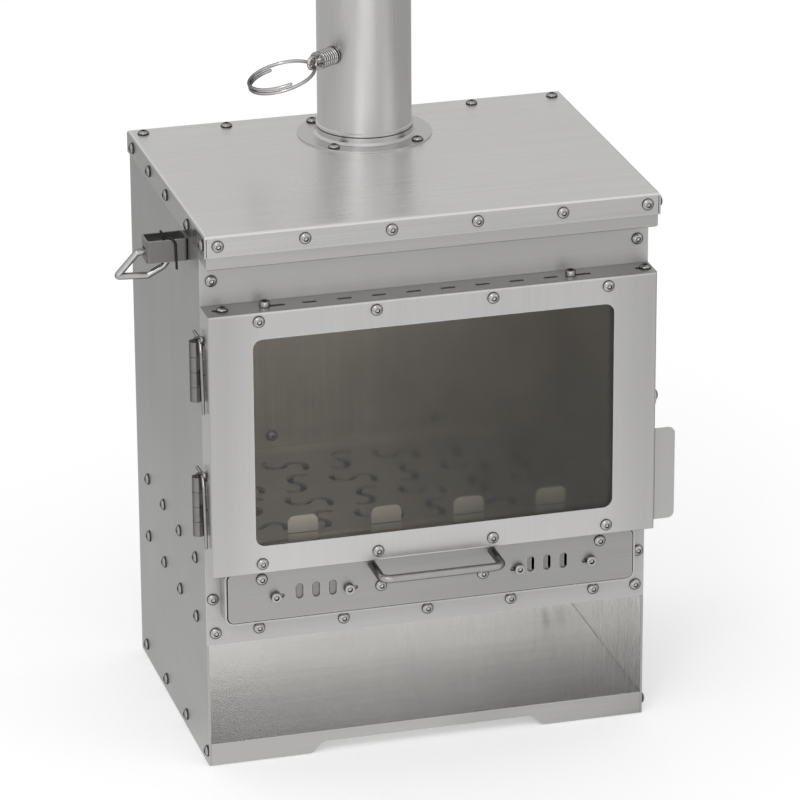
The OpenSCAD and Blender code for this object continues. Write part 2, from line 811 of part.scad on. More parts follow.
module flue_collar() {
    r0 = pipe_r + fit;
    color("#c4c2bf") difference() {
        translate([0, flue_y, 0]) rotate_extrude($fn = 96) polygon([[r0, z_top],
            [flange_r, z_top], [flange_r, z_top + sheet], [r0 + upstand_t + 2, z_top + sheet],
            [r0 + upstand_t, z_top + sheet + 2], [r0 + upstand_t, z_top + upstand_h],
            [r0, z_top + upstand_h]]);
        drill(collar_bolts, "up", screw_r + fit, 12);
    }
}

// Damper section of the flue: plain lower end, stop bead and reduced upper end
module flue_pipe() {
    r1 = spigot_r - pipe_t;
    z2 = z_pipe_top - spigot_l;
    color("#b9b7b4") difference() {
        translate([0, flue_y, 0]) rotate_extrude($fn = 96) polygon([[bore_r, z_pipe],
            [pipe_r, z_pipe], [pipe_r, z_bead], [pipe_r + bead_out, z_bead + bead_h * 0.25],
            [pipe_r + bead_out, z_bead + bead_h * 0.75], [pipe_r, z_bead + bead_h],
            [pipe_r, z2 - 4], [spigot_r, z2], [spigot_r, z_pipe_top], [r1, z_pipe_top],
            [r1, z2], [bore_r, z2 - 4], [bore_r, z_bead + bead_h],
            [bore_r + bead_out, z_bead + bead_h * 0.75], [bore_r + bead_out, z_bead + bead_h * 0.25],
            [bore_r, z_bead]]);
        damper_frame() translate([0, 0, -pipe_r - 5]) cylinder(h = 2 * pipe_r + 10, r = shaft_r + fit);
    }
}

// One rolled knuckle with the tongue that is welded to a side wall; dir is the side
// of the pin, front or back, to which its tongue points
module knuckle(z, dir) {
    weld = 13.5;
    translate([hinge_x, hinge_y, z]) difference() {
        union() {
            cylinder(h = knuckle_l, r = knuckle_r);
            translate([knuckle_r + run - sheet, dir < 0 ? -weld - run : run, 0])
                cube([sheet, weld, knuckle_l]);
        }
        translate([0, 0, -eps]) cylinder(h = knuckle_l + 2 * eps, r = pin_r + fit);
    }
}

// Each hinge has four knuckles, the body's and the door's in turn
function hinge_z(h, k) = z_door + hinge_rise + h * hinge_pitch + k * knuckle_step;

module body_knuckles() {
    color("#c4c2bf") for (h = [0, 1], k = [0, 2]) knuckle(hinge_z(h, k), 1);
}

module door_knuckles() {
    color("#c4c2bf") for (h = [0, 1], k = [1, 3]) knuckle(hinge_z(h, k), -1);
}

// Spring clip whose straight leg is the hinge pin and whose bowed leg lies along the door
module hinge_pins() {
    top = 4 * knuckle_step;
    lean = 13.5;
    color("#d2d0cd") for (h = [0, 1]) translate([hinge_x, hinge_y, hinge_z(h, 0)]) {
        cylinder(h = top + 3, r = pin_r);
        wire(bent([[0, 0, top + 2], [0, 0, top + 9], [0, -lean, top - 8], [0, -lean, 0],
            [0, -lean - 2, -8]], 3, 6), pin_r - 0.1, 12, [1, 0, 0]);
    }
}

// Spring leaf on the right side panel that holds the latch arm against the side
module keeper_spring() {
    x0 = side;
    x1 = latch_x + latch_t + keeper_gap;
    y0 = keeper_y + 22;
    y1 = keeper_y + 6;
    y2 = keeper_y;
    y3 = y2 - keeper_reach;
    y4 = y3 - 5;
    color("#c4c2bf") difference() {
        translate([0, 0, latch_z - keeper_h / 2]) linear_extrude(keeper_h) polygon([[x0, y0],
            [x0, y1], [x1, y2], [x1, y3], [x1 + 2.5, y4], [x1 + 2.5 + keeper_t, y4],
            [x1 + keeper_t, y3 + 0.4], [x1 + keeper_t, y2 + 0.5], [x0 + keeper_t, y1 + 0.5],
            [x0 + keeper_t, y0]]);
        drill(keeper_bolts, "right", screw_r + fit, 12);
    }
}

// Open box bracket on the left side, with the hole in its outer wall for the bail
module bracket_left() {
    color("#8e8c8a") difference() {
        translate([-side - bracket_out / 2, bracket_mid, z_bracket - bracket_h])
            linear_extrude(bracket_h) difference() {
                round_rect(bracket_out, bracket_d, bracket_r);
                round_rect(bracket_out - 2 * sheet, bracket_d - 2 * sheet, bracket_r - sheet);
            }
        translate([-side - bracket_out + 2 * sheet, bracket_mid, bail_z]) rotate([0, -90, 0])
            cylinder(h = 3 * sheet, r = bail_r + run);
        drill(rivet_pos, "left", rivet_r + fit, 12);
    }
}

// Spring clip over the bracket's front wall: free end, U-turn inside and arm in front
module bracket_clip() {
    y_in = bracket_front + sheet + clip_wire + 0.1;
    y_out = bracket_front - clip_wire - 0.1;
    z0 = z_bracket - bracket_h + 5;
    z1 = z_bracket + clip_wire + 0.2;
    path = [[clip_x + 3.5, y_in, z1 + 7.5], [clip_x, y_in, z1 + 1.5], [clip_x, y_in, z0],
        [clip_x - 5, y_in, z0], [clip_x - 5, y_in, z1], [clip_x - 6, y_out, z1],
        [clip_x - 9.5, y_out, z1 - 5], [clip_x - 9.5, y_out, z_bracket - 27]];
    color("#4b4947") mirror([1, 0, 0]) wire(bent(path, 1.5, 3), clip_wire, 8, [0, 1, 0]);
}

// Closed wire loop through the bracket's outer wall: the pin inside the bracket, the
// arm outside it, the grip below and the inner arm that returns up into the bracket
module bail_left() {
    x0 = side + bracket_out;
    path = [[x0 - 12, 0], [x0 + 7.5, 0], [x0 + 30, -24.5], [x0 - 3, -26.5], [x0 - 18, -19],
        [x0 - 26.5, -8], [x0 - 26.5, 0], [x0 - 12.5, 0]];
    color("#a8a6a3") mirror([1, 0, 0]) translate([0, bracket_mid, bail_z])
        wire(bent([for (p = path) [p[0], 0, p[1]]], 3.6, 6), bail_r, 16, [0, 1, 0]);
}

// ---------------------------------------------------------------- screws of the body

module cover_screws() {
    color("#c9c7c4") {
        at_each(lip_screws, "front") button_screw(screw_l);
        at_each(side_lip(-1), "left") button_screw(screw_l);
        at_each(side_lip(1), "right") button_screw(screw_l);
        at_each(top_screws, "up") button_screw(screw_l);
    }
}

module front_screws() {
    color("#c9c7c4") {
        at_each(plate_corners, "front") button_screw(screw_l);
        at_each(plate_row, "front") button_screw(screw_l);
    }
}

module side_screws() {
    color("#c9c7c4") {
        at_each(side_rows(-1), "left") button_screw(screw_l);
        at_each(side_rows(1), "right") button_screw(screw_l);
    }
}

module back_screws() {
    color("#c9c7c4") at_each(back_rows, "back") button_screw(screw_l);
}

module collar_screws() {
    color("#c9c7c4") at_each(collar_bolts, "up") button_screw(screw_l);
}

// Blind rivet with a low domed head and a flared tail
module rivet() {
    rotate_extrude($fn = 32) polygon([[0, -7], [rivet_r - 0.6, -7], [rivet_r, -6.4], [rivet_r, 0],
        [rivet_head_r, 0], [rivet_head_r, 0.5], [rivet_head_r * 0.6, 1.3], [0, 1.5]]);
}

module bracket_rivets() {
    color("#c9c7c4") at_each(rivet_pos, "left") rivet();
}

module keeper_screws() {
    color("#c9c7c4") at_each(keeper_bolts, "right") button_screw(screw_l);
}

// ---------------------------------------------------------------- door

// Box open at the back, its folded front edges rounded
module door_box(x, y0, y1, z0, z1, r) {
    intersection() {
        translate([0, 0, z0]) linear_extrude(z1 - z0) rounded_front(x, y0, y1, r);
        along_x(-x, x) rounded_front_side(y0, y1, z0, z1, r);
    }
}

module rounded_front(x, y0, y1, r) {
    translate([-x, y0 + r]) square([2 * x, y1 - y0 - r]);
    translate([-x + r, y0]) square([2 * x - 2 * r, y1 - y0]);
    for (s = [-1, 1]) translate([s * (x - r), y0 + r]) circle(r);
}

module rounded_front_side(y0, y1, z0, z1, r) {
    translate([y0 + r, z0]) square([y1 - y0 - r, z1 - z0]);
    translate([y0, z0 + r]) square([y1 - y0, z1 - z0 - 2 * r]);
    for (z = [z0 + r, z1 - r]) translate([y0 + r, z]) circle(r);
}

module door_frame() {
    rim = rope_w + sheet;
    color("#b0aeab") difference() {
        union() {
            difference() {
                door_box(side, door_front, door_back, z_door, z_door_top, bend_r - 1);
                door_box(side - sheet, door_front + sheet, door_back + 9, z_door + sheet,
                    z_door_top - sheet, bend_r - 1 - sheet / 2);
            }
            rope_seat(rim);
        }
        translate([0, door_front - eps, z_window_mid]) rotate([-90, 0, 0])
            linear_extrude(sheet + 2 * eps) round_rect(window_w, window_h, window_r);
        drill(door_rows, "front", screw_r + fit, sheet + 1);
        drill(latch_pivot, "right", screw_r + fit, sheet + 1);
        for (p = door_corners) translate([p[0] - 3, p[1], p[2] - 2 * sheet])
            linear_extrude(3 * sheet) slot(2 * screw_r + 0.4 + 6, 2 * screw_r + 0.4);
        for (i = [0:dash_count - 1]) translate([(i - (dash_count - 1) / 2) * dash_pitch, vent_y,
            z_door_top - 2 * sheet]) linear_extrude(3 * sheet) slot(dash_l, dash_w);
        for (x = vent_knob_x) translate([x + vent_travel / 2, vent_y, z_door_top - 2 * sheet])
            linear_extrude(3 * sheet) slot(vent_travel + 2 * knob_slot, 2 * knob_slot);
    }
}

// Flat inner flange that carries the rope, below the vent slide at the top
module rope_seat(rim) {
    translate([0, rope_front, (z_door + z_door_top) / 2]) rotate([90, 0, 0])
        linear_extrude(sheet) difference() {
            square([2 * side - 2 * sheet + 2 * eps, door_h - 2 * sheet + 2 * eps], center = true);
            square([2 * side - 2 * sheet - 2 * rim, door_h - 2 * sheet - 2 * rim], center = true);
        }
}

module rope_gasket() {
    w = 2 * (side - sheet - seat);
    h = door_h - 2 * (sheet + seat);
    color("#4a4947") translate([0, door_back, (z_door + z_door_top) / 2]) rotate([90, 0, 0])
        linear_extrude(rope_t) difference() {
            round_rect(w, h, 4);
            round_rect(w - 2 * rope_w, h - 2 * rope_w, 2);
        }
}

module window_glass() {
    color([0.2, 0.19, 0.17, 0.75]) translate([0, glass_back, z_window_mid]) rotate([90, 0, 0])
        linear_extrude(glass_t) round_rect(window_w + 2 * glass_rim, window_h + 2 * glass_rim, 5);
}

// Tape frame round the glass that also spaces the retainer from the door's face
module glass_gasket() {
    y0 = door_front + sheet;
    w = window_w + 2 * glass_rim + 2 * seat;
    h = window_h + 2 * glass_rim + 2 * seat;
    color("#5b5955") difference() {
        translate([0, retainer_y, z_window_mid]) rotate([90, 0, 0]) linear_extrude(retainer_y - y0)
            difference() {
                round_rect(w + 7, h + 7, 8);
                round_rect(window_w + 3, window_h + 3, window_r);
            }
        translate([0, glass_back + 0.1, z_window_mid]) rotate([90, 0, 0])
            linear_extrude(glass_t + 0.2) round_rect(w, h, 5);
        drill(door_rows, "front", screw_r + 1, 12);
    }
}

module glass_retainer() {
    color("#8a8885") difference() {
        union() {
            translate([0, retainer_y + sheet, z_window_mid]) rotate([90, 0, 0])
                linear_extrude(sheet) difference() {
                    round_rect(retainer_w, retainer_h, 6);
                    round_rect(window_w + 2 * glass_rim - 2 * retainer_lap,
                        window_h + 2 * glass_rim - 2 * retainer_lap, window_r);
                }
            for (p = door_corners) retainer_ear(p);
        }
        drill(door_rows, "front", screw_r + fit, 14);
        drill(door_corners, "up", screw_r + fit, 10);
    }
}

// Arm from the retainer's upper corner to the lug under the door's top wall
module retainer_ear(p) {
    z1 = z_door_top - sheet;
    s = sign(p[0]);
    x0 = retainer_w / 2 - 6;
    x1 = side - sheet - seat;
    z0 = z_window_mid + retainer_h / 2 - 12;
    box([s > 0 ? x0 : -x1, retainer_y, z0], [s > 0 ? x1 : -x0, retainer_y + sheet, z1]);
    box([s > 0 ? p[0] - ear_w : -x1, retainer_y, z1 - sheet], [s > 0 ? x1 : p[0] + ear_w,
        retainer_y + ear_d, z1]);
}

module door_screws() {
    color("#c9c7c4") {
        at_each(door_rows, "front") button_screw(screw_l);
        at_each(door_corners, "up") button_screw(5);
    }
}

module latch_screw() {
    head_x = latch_x + latch_t + run;
    color("#c9c7c4") translate([head_x, latch_y, latch_z]) outward("right")
        button_screw(head_x - side + sheet + 3);
}

// Lever with the finger tab at its lower end and the arm that slides under the keeper
module latch_lever() {
    color("#bcbab7") difference() {
        union() {
            along_x(latch_x, latch_x + latch_t) {
                translate([latch_y, latch_z]) circle(latch_eye);
                translate([tab_y + bend_r, latch_z - tab_drop - tab_h])
                    square([latch_leg - bend_r, tab_h + tab_drop]);
                translate([latch_y, latch_z - arm_h / 2]) square([latch_arm - arm_h / 2, arm_h]);
                translate([latch_y + latch_arm - arm_h / 2, latch_z]) circle(arm_h / 2);
            }
            difference() {
                translate([0, 0, latch_z - tab_drop - tab_h]) linear_extrude(tab_h) tab_bend();
                tab_corners();
            }
        }
        translate([latch_x - 1, latch_y, latch_z]) rotate([0, 90, 0])
            cylinder(h = latch_t + 2, r = screw_r + fit);
    }
}

// Right-angle bend from the leg on the door's side to the tab that faces the front
module tab_bend() {
    translate([latch_x + bend_r, tab_y]) square([tab_w - bend_r, latch_t]);
    translate([latch_x, tab_y + bend_r]) square([latch_t, latch_leg - bend_r]);
    intersection() {
        translate([latch_x + bend_r, tab_y + bend_r]) difference() {
            circle(bend_r);
            circle(bend_r - latch_t);
        }
        translate([latch_x, tab_y]) square(bend_r);
    }
}

// What is cut off the tab's two free corners
module tab_corners() {
    r = 6;
    for (z = [0, 1]) translate([latch_x + tab_w - r, tab_y - 1,
        latch_z - tab_drop - tab_h + (z == 0 ? r : tab_h - r)]) difference() {
        translate([0, 0, z == 0 ? -r - 1 : 0]) cube([r + 1, latch_t + 2, r + 1]);
        rotate([-90, 0, 0]) translate([0, 0, -1]) cylinder(h = latch_t + 4, r = r);
    }
}

module vent_slide() {
    x0 = vent_knob_x[0] - 12;
    x1 = vent_knob_x[1] + 12;
    color("#8a8885") difference() {
        box([x0, vent_y - vent_w / 2, vent_z - vent_t], [x1, vent_y + vent_w / 2, vent_z]);
        for (i = [0:dash_count - 1]) translate([(i - (dash_count - 1) / 2) * dash_pitch, vent_y,
            vent_z - 2 * vent_t]) linear_extrude(3 * vent_t) slot(dash_l, dash_w);
        drill(vent_knob_pos, "up", knob_shank + fit, 8);
    }
}

module vent_knobs() {
    color("#c9c7c4") at_each(vent_knob_pos, "up") knob_screw();
}

// ---------------------------------------------------------------- ash drawer

module drawer_tray() {
    inner_w = tray_w - 2 * tray_t;
    z1 = z_tray + tray_h;
    color("#8f8d8a") difference() {
        box([-tray_w / 2, tray_y, z_tray], [tray_w / 2, tray_y + tray_d, z1]);
        box([-inner_w / 2, tray_y + tray_t, z_tray + tray_t],
            [inner_w / 2, tray_y + tray_d - tray_t, z1 + eps]);
        for (s = [-1, 1]) translate([s * intake_x, tray_y + tray_t / 2, intake_z])
            cube([slide_w + 2 * slide_room, tray_t + 2 * eps, slide_h + 2], center = true);
        drill(drawer_rows, "front", screw_r + fit, 12);
    }
}

module drawer_face() {
    color("#b2b0ad") difference() {
        translate([0, tray_y, z_face_mid]) rotate([90, 0, 0]) linear_extrude(sheet) difference() {
            round_rect(face_w, face_h, collar_r - sheet - face_gap);
            for (s = [-1, 1]) {
                for (i = [0:intake_count - 1])
                    translate([s * intake_x + (i - (intake_count - 1) / 2) * intake_pitch,
                        intake_z - z_face_mid]) rotate(90) slot(intake_l, intake_w);
                for (x = intake_knob_x(s)) translate([x - s * intake_travel / 2,
                    intake_knob_z - z_face_mid]) slot(intake_travel + 2 * knob_slot, 2 * knob_slot);
            }
        }
        drill(drawer_rows, "front", screw_r + fit, 12);
    }
}

// Bent rod, its two ends set on the drawer's face
module drawer_handle() {
    y0 = face_y;
    y1 = face_y - handle_out;
    color("#a8a6a3") translate([0, 0, handle_z]) rod([[-handle_w / 2, y0], [-handle_w / 2, y1],
        [handle_w / 2, y1], [handle_w / 2, y0]], handle_r, handle_bend);
}

module drawer_screws() {
    color("#c9c7c4") at_each(drawer_rows, "front") button_screw(6);
}

// Plate behind the drawer's face; its windows line up with the intake slots when it is open.
// Both sides use the same plate, so the right one stands open a little more than the left.
module intake_slide(s) {
    knobs = intake_knob_x(s);
    mid = (knobs[0] + knobs[1]) / 2;
    difference() {
        box([mid - slide_w / 2, tray_y + seat, intake_z - slide_h / 2],
            [mid + slide_w / 2, tray_y + seat + slide_t, intake_z + slide_h / 2]);
        for (i = [0:intake_count - 1])
            translate([mid - intake_shift + (i - (intake_count - 1) / 2) * intake_pitch, tray_y,
                intake_z]) rotate([-90, 0, 0]) linear_extrude(3) rotate(90) slot(intake_l, intake_w);
        drill(intake_knob_pos(s), "front", knob_shank + fit, 8);
    }
}

module intake_slide_left() {
    color("#9a9896") intake_slide(-1);
}

module intake_slide_right() {
    color("#9a9896") intake_slide(1);
}

module intake_knobs_left() {
    color("#c9c7c4") at_each(intake_knob_pos(-1), "front") knob_screw();
}

module intake_knobs_right() {
    color("#c9c7c4") at_each(intake_knob_pos(1), "front") knob_screw();
}

// ---------------------------------------------------------------- damper

// Local frame of the damper: origin on the pipe's axis, +Z out along the shaft
module damper_frame() {
    translate([0, flue_y, z_damper]) rotate([0, 0, 180 + damper_angle]) rotate([0, 90, 0]) children();
}

module damper_plate() {
    r = bore_r - damper_gap;
    color("#8a8885") damper_frame() difference() {
        union() {
            translate([0, shaft_r + 0.75 + fit, 0]) rotate([90, 0, 0])
                cylinder(h = 1.5, r = r, center = true, $fn = 96);
            for (z = [-r * 0.6, r * 0.6]) translate([-shaft_r - 1.5, -shaft_r - 1.5, z - 5])
                cube([2 * shaft_r + 3, 2 * shaft_r + 1.6, 10]);
        }
        translate([0, 0, -pipe_r]) cylinder(h = 2 * pipe_r, r = shaft_r + fit);
    }
}

// Shaft through the pipe with a stop nut at its far end and an eye at its near end
module damper_shaft() {
    stop_r = 5.5;
    color("#c4c2bf") damper_frame() {
        translate([0, 0, -pipe_r - 4]) cylinder(h = pipe_r + 4 + eye_at - eye_hole - 0.6, r = shaft_r);
        translate([0, 0, -pipe_r - run - 4]) cylinder(h = 4, r = stop_r, $fn = 6);
        for (z = [pipe_r + run, spring_end]) translate([0, 0, z]) cylinder(h = washer_t, r = spring_r + 0.4);
        translate([0, 0, eye_at]) rotate([90, 0, 0]) rotate_extrude($fn = 48)
            translate([eye_hole + eye_wire, 0]) circle(eye_wire, $fn = 24);
    }
}

// The spring's wire: a run along the shaft at each end and the turns between them
spring_coil_r = spring_r - spring_wire;
spring_steps = 8;
spring_path = let (r = spring_coil_r, n = spring_turns * spring_steps, d = 2 * spring_wire)
    concat([[r, 0, spring_start]],
        [for (i = [0:n]) let (a = 360 * i / spring_steps)
            [r * cos(a), r * sin(a), spring_start + d + (spring_len - d) * i / n]],
        [[r, 0, spring_start + spring_len + d]]);
spring_gap = min([for (i = [0:spring_steps]) norm(spring_path[1 + i + spring_steps]
    - spring_path[1 + i]) - 2 * spring_wire]);
echo(spring_gap = spring_gap);

module damper_spring() {
    color("#d2d0cd") damper_frame() wire(spring_path, spring_wire, 6, [1, 0, 0]);
}

// Split ring of one and a half turns; its single part hangs in the shaft's eye
ring_turns = 1.5;
ring_steps = 24;
ring_pitch = 2 * ring_wire + 0.7;
ring_path = let (r = ring_r - ring_wire, n = ring_turns * ring_steps)
    [for (i = [0:n]) let (a = 270 + 360 * i / ring_steps)
        [r * cos(a), r * sin(a), ring_pitch * (i / ring_steps - ring_turns / 2)]];
ring_gap = min([for (i = [0:(ring_turns - 1) * ring_steps])
    norm(ring_path[i + ring_steps] - ring_path[i]) - 2 * ring_wire]);
echo(ring_gap = ring_gap);

module split_ring() {
    color("#d2d0cd") translate([0, flue_y, z_damper - ring_seat]) rotate([0, 0, 180 + damper_angle])
        translate([eye_at, 0, 0]) rotate([0, ring_droop, -ring_yaw]) translate([ring_r - ring_wire, 0, 0])
            wire(ring_path, ring_wire, 6, [1, 0, 0]);
}

side_panel_left();
side_panel_right();
back_panel();
front_plate();
base_plate();
ash_floor();
hearth_plate();
fire_grate();
rear_liner();
smoke_baffle();
baffle_rests();
drawer_collar();
drawer_runners();
front_hood();
top_cover();
flue_collar();
flue_pipe();
body_knuckles();
keeper_spring();
bracket_left();
bracket_clip();
cover_screws();
front_screws();
side_screws();
back_screws();
collar_screws();
liner_screws();
bracket_rivets();
keeper_screws();
door_frame();
window_glass();
glass_gasket();
glass_retainer();
rope_gasket();
door_screws();
door_knuckles();
hinge_pins();
latch_screw();
latch_lever();
vent_slide();
vent_knobs();
drawer_tray();
drawer_face();
drawer_handle();
drawer_screws();
intake_slide_left();
intake_slide_right();
intake_knobs_left();
intake_knobs_right();
damper_plate();
damper_shaft();
damper_spring();
split_ring();
bail_left();
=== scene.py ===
import json
import math
import random

import bpy
from mathutils import Matrix, Vector

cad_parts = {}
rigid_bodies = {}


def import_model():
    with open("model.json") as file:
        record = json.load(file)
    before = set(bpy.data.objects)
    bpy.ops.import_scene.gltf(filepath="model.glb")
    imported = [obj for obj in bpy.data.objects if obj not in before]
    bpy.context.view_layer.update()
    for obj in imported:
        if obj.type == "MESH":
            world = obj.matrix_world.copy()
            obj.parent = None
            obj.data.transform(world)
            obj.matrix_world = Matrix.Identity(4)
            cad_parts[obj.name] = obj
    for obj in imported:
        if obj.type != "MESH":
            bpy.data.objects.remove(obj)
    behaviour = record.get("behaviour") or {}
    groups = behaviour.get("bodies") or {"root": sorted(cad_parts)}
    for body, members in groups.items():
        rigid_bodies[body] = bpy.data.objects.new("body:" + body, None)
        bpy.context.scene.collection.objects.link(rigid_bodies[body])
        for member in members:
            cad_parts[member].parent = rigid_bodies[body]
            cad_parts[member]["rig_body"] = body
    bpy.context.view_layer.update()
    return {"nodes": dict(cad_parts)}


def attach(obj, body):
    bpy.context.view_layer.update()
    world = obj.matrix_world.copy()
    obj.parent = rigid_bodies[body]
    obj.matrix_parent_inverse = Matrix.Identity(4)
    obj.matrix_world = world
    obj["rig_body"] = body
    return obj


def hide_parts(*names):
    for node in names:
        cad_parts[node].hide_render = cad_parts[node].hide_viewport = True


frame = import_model()
nodes = frame["nodes"]
scene = bpy.context.scene
# A millimetre in metres
MM = 0.001


# ------------------------------------------------------------------ shader helpers

# A face looks along an axis from this share of its normal upwards
FACING_LEAST = 0.7
# Shares of open sky at which the painted crevice shade begins and is full, and the rays that find
# it
CREVICE_OPEN, CREVICE_SHUT, CREVICE_RAYS = 0.62, 0.22, 5
# Cosines between true and rounded normal at which wear begins and is full, and its rays
EDGE_FLAT, EDGE_ROUND, EDGE_RAYS = 0.995, 0.86, 4
# Shifts that keep the three axes of a noise apart
SEED_Y, SEED_Z = 0.7, 1.3
BLACK, WHITE = (0.0, 0.0, 0.0, 1.0), (1.0, 1.0, 1.0, 1.0)


def feed(tree, made, inputs):
    """Gives inputs of a node a value or another node's output."""
    for key, value in inputs.items():
        if isinstance(value, bpy.types.NodeSocket):
            tree.links.new(value, made.inputs[key])
        else:
            made.inputs[key].default_value = value


def node(tree, kind, inputs=None, **props):
    """Adds a shader node with its properties and inputs."""
    made = tree.nodes.new("ShaderNode" + kind)
    for key, value in props.items():
        setattr(made, key, value)
    feed(tree, made, inputs or {})
    return made


def start(name):
    """A new material, its node tree and its surface node."""
    mat = bpy.data.materials.new(name)
    mat.use_nodes = True
    tree = mat.node_tree
    return mat, tree, tree.nodes["Principled BSDF"]


def object_place(tree):
    """The place on the surface in the object's own coordinates."""
    return node(tree, "TexCoord").outputs["Object"]


def stretched(tree, scale, seed):
    """Object coordinates stretched by one factor for each axis."""
    return node(tree, "Mapping", {"Vector": object_place(tree), "Scale": scale,
                                  "Location": (seed, seed * SEED_Y, seed * SEED_Z)}
                ).outputs["Vector"]


def noise(tree, scale, detail, rough, seed=0.0):
    """A noise from 0 to 1 with its scale along each axis."""
    return node(tree, "TexNoise", {"Vector": stretched(tree, scale, seed), "Scale": 1.0,
                                   "Detail": detail, "Roughness": rough}).outputs["Fac"]


def remap(tree, value, low, high, to_low=0.0, to_high=1.0):
    """Takes low to high over to to_low to to_high, and holds the value at both ends."""
    return node(tree, "MapRange", {"Value": value, "From Min": low, "From Max": high,
                                   "To Min": to_low, "To Max": to_high}).outputs["Result"]


def mix(tree, factor, a, b, kind="RGBA"):
    """a where the factor is 0, b where it is 1."""
    made = node(tree, "Mix", data_type=kind)
    place = {s.name: i for i, s in enumerate(made.inputs) if s.enabled}
    feed(tree, made, {place["Factor"]: factor, place["A"]: a, place["B"]: b})
    return [s for s in made.outputs if s.enabled][0]


def calc(tree, operation, a, b=0.0):
    """The result of a maths operation on one or two numbers."""
    return node(tree, "Math", {0: a, 1: b}, operation=operation).outputs[0]


def split(tree, vector):
    """The three parts of a vector."""
    return node(tree, "SeparateXYZ", {"Vector": vector}).outputs


def curve(tree, value, stops):
    """A smooth function of one value, given as pairs of place and height; every place is
    set before the first height, because the ramp sorts its elements by place."""
    made = node(tree, "ValToRGB", {"Fac": value})
    ramp = made.color_ramp
    ramp.interpolation = "EASE"
    while len(ramp.elements) < len(stops):
        ramp.elements.new(0.5)
    for element, stop in zip(ramp.elements, stops):
        element.position = stop[0]
    for element, stop in zip(ramp.elements, stops):
        element.color = shade((stop[1],) * 3)
    return made.outputs["Color"]


def shade(color, factor=1.0):
    """A colour with its alpha, made darker by a factor."""
    return tuple(c * factor for c in color) + (1.0,)


def within(tree, limits):
    """1 inside a box of object coordinates, 0 outside."""
    axes = split(tree, object_place(tree))
    mask = None
    for axis, (least, most) in zip(axes, limits):
        over = calc(tree, "GREATER_THAN", axis, least)
        under = calc(tree, "LESS_THAN", axis, most)
        both = calc(tree, "MULTIPLY", over, under)
        mask = both if mask is None else calc(tree, "MULTIPLY", mask, both)
    return mask


def facing(tree, axis):
    """1 where the surface looks along an axis of the object, 0 elsewhere."""
    normal = split(tree, node(tree, "TexCoord").outputs["Normal"])[axis]
    return calc(tree, "GREATER_THAN", calc(tree, "ABSOLUTE", normal), FACING_LEAST)


def crevice(tree, distance):
    """1 where another surface stands close by, as in a seam, 0 in the open; it sets where shade is
    painted.
    """
    sky = node(tree, "AmbientOcclusion", {"Distance": distance}, samples=CREVICE_RAYS)
    return remap(tree, sky.outputs["AO"], CREVICE_OPEN, CREVICE_SHUT)


def edge_wear(tree, radius):
    """1 along convex and concave edges that handling has rubbed, 0 on flat faces."""
    rounded = node(tree, "Bevel", {"Radius": radius}, samples=EDGE_RAYS).outputs["Normal"]
    plain = node(tree, "NewGeometry").outputs["Normal"]
    same = node(tree, "VectorMath", {0: rounded, 1: plain}, operation="DOT_PRODUCT")
    return remap(tree, same.outputs["Value"], EDGE_FLAT, EDGE_ROUND)


# ------------------------------------------------------------------ metals

AXES = {"x": (1.0, 0.0, 0.0), "y": (0.0, 1.0, 0.0), "z": (0.0, 0.0, 1.0)}
# Grain of the faces that look along the sheet's own grain
OTHER_GRAIN = {"x": "z", "y": "x", "z": "x"}

# Streaks and scratches: noise scales across and along the grain, detail and roughness
FINE = (900.0, 7.0, 2.0, 0.6)
BROAD = (90.0, 2.0, 3.0, 0.5)
SCRATCH = (315.0, 2.45, 1.0, 0.4)
# Their weights, and how far they change tone, roughness and height
FINE_SHARE, BROAD_SHARE = 0.6, 0.4
SCRATCH_FROM, SCRATCH_FULL, SCRATCH_DEPTH = 0.72, 0.78, 0.5
STREAK_SPAN, STREAK_SPREAD = (0.35, 0.65), 0.07
STREAK_ROUGH_SPAN, SMOOTHER, ROUGHER = (0.3, 0.7), 0.05, 0.06
STREAK_BUMP, STREAK_DEPTH = 0.10, 0.0004

# Patches of soot and of handling: noises, the noise values that they span, and how far they
# dull the tone and change the roughness
SOOT_NOISE = ((14.0, 14.0, 14.0), 5.0, 0.65)
SOOT_SPAN = (0.35, 0.7)
SMUDGE_NOISE = ((9.0, 9.0, 9.0), 4.0, 0.6)
SMUDGE_SPAN, SMUDGE_DULL = (0.35, 0.75), 0.03
SMUDGE_ROUGH_SPAN, SMUDGE_ROUGH = (0.3, 0.8), (-0.03, 0.05)

# Colours of the soot over the metal, of the shade painted into crevices and onto turned-away
# faces, and of rubbed edges, and how much of the rubbing and of the crevice shade shows
SOOT = (0.06, 0.052, 0.045, 1.0)
PAINTED_SHADE = (0.03, 0.029, 0.028, 1.0)
RUBBED = (0.86, 0.855, 0.84, 1.0)
RUBBED_SHARE, CREVICE_SHADE_SHARE = 0.5, 0.75
# Rubbed edges: the smudge values that they go by, their wear there and what it takes off the
# roughness
RUBBED_SPAN, RUBBED_RANGE, RUBBED_GLOSS = (0.3, 0.6), (0.35, 0.9), 0.08
# Radii of worn edges and reach of the painted seam shade, in metres
SHEET_EDGE, WIRE_EDGE, SEAM_SHADE = 0.0009, 0.0003, 0.0022

# Shifts of a material's seed for its separate noises
SOOT_SEED, PATCH_SEED, BROAD_SEED, SMUDGE_SEED, SCRATCH_SEED, OTHER_SEED = 3, 4, 5, 9, 21, 31

# Turned metal: tool marks, dull patches, the brighter tone of its edges and the painted shade of
# its outline
MARKS_NOISE = ((1400.0, 1400.0, 1400.0), 2.0, 0.5)
MARKS_BUMP, MARKS_DEPTH = 0.02, 0.0002
PATCH_NOISE = ((120.0, 120.0, 120.0), 3.0, 0.6)
PATCH_SPAN, PATCH_TONE = (0.4, 0.75), 0.62
PATCH_ROUGH_SPAN, PATCH_ROUGH = (0.3, 0.7), 0.12
EDGE_GAIN, EDGE_LIFT, EDGE_SHARE = 1.35, 0.02, 0.6
OUTLINE_SHADE_FROM, OUTLINE_SHADE_FULL = 0.25, 0.68


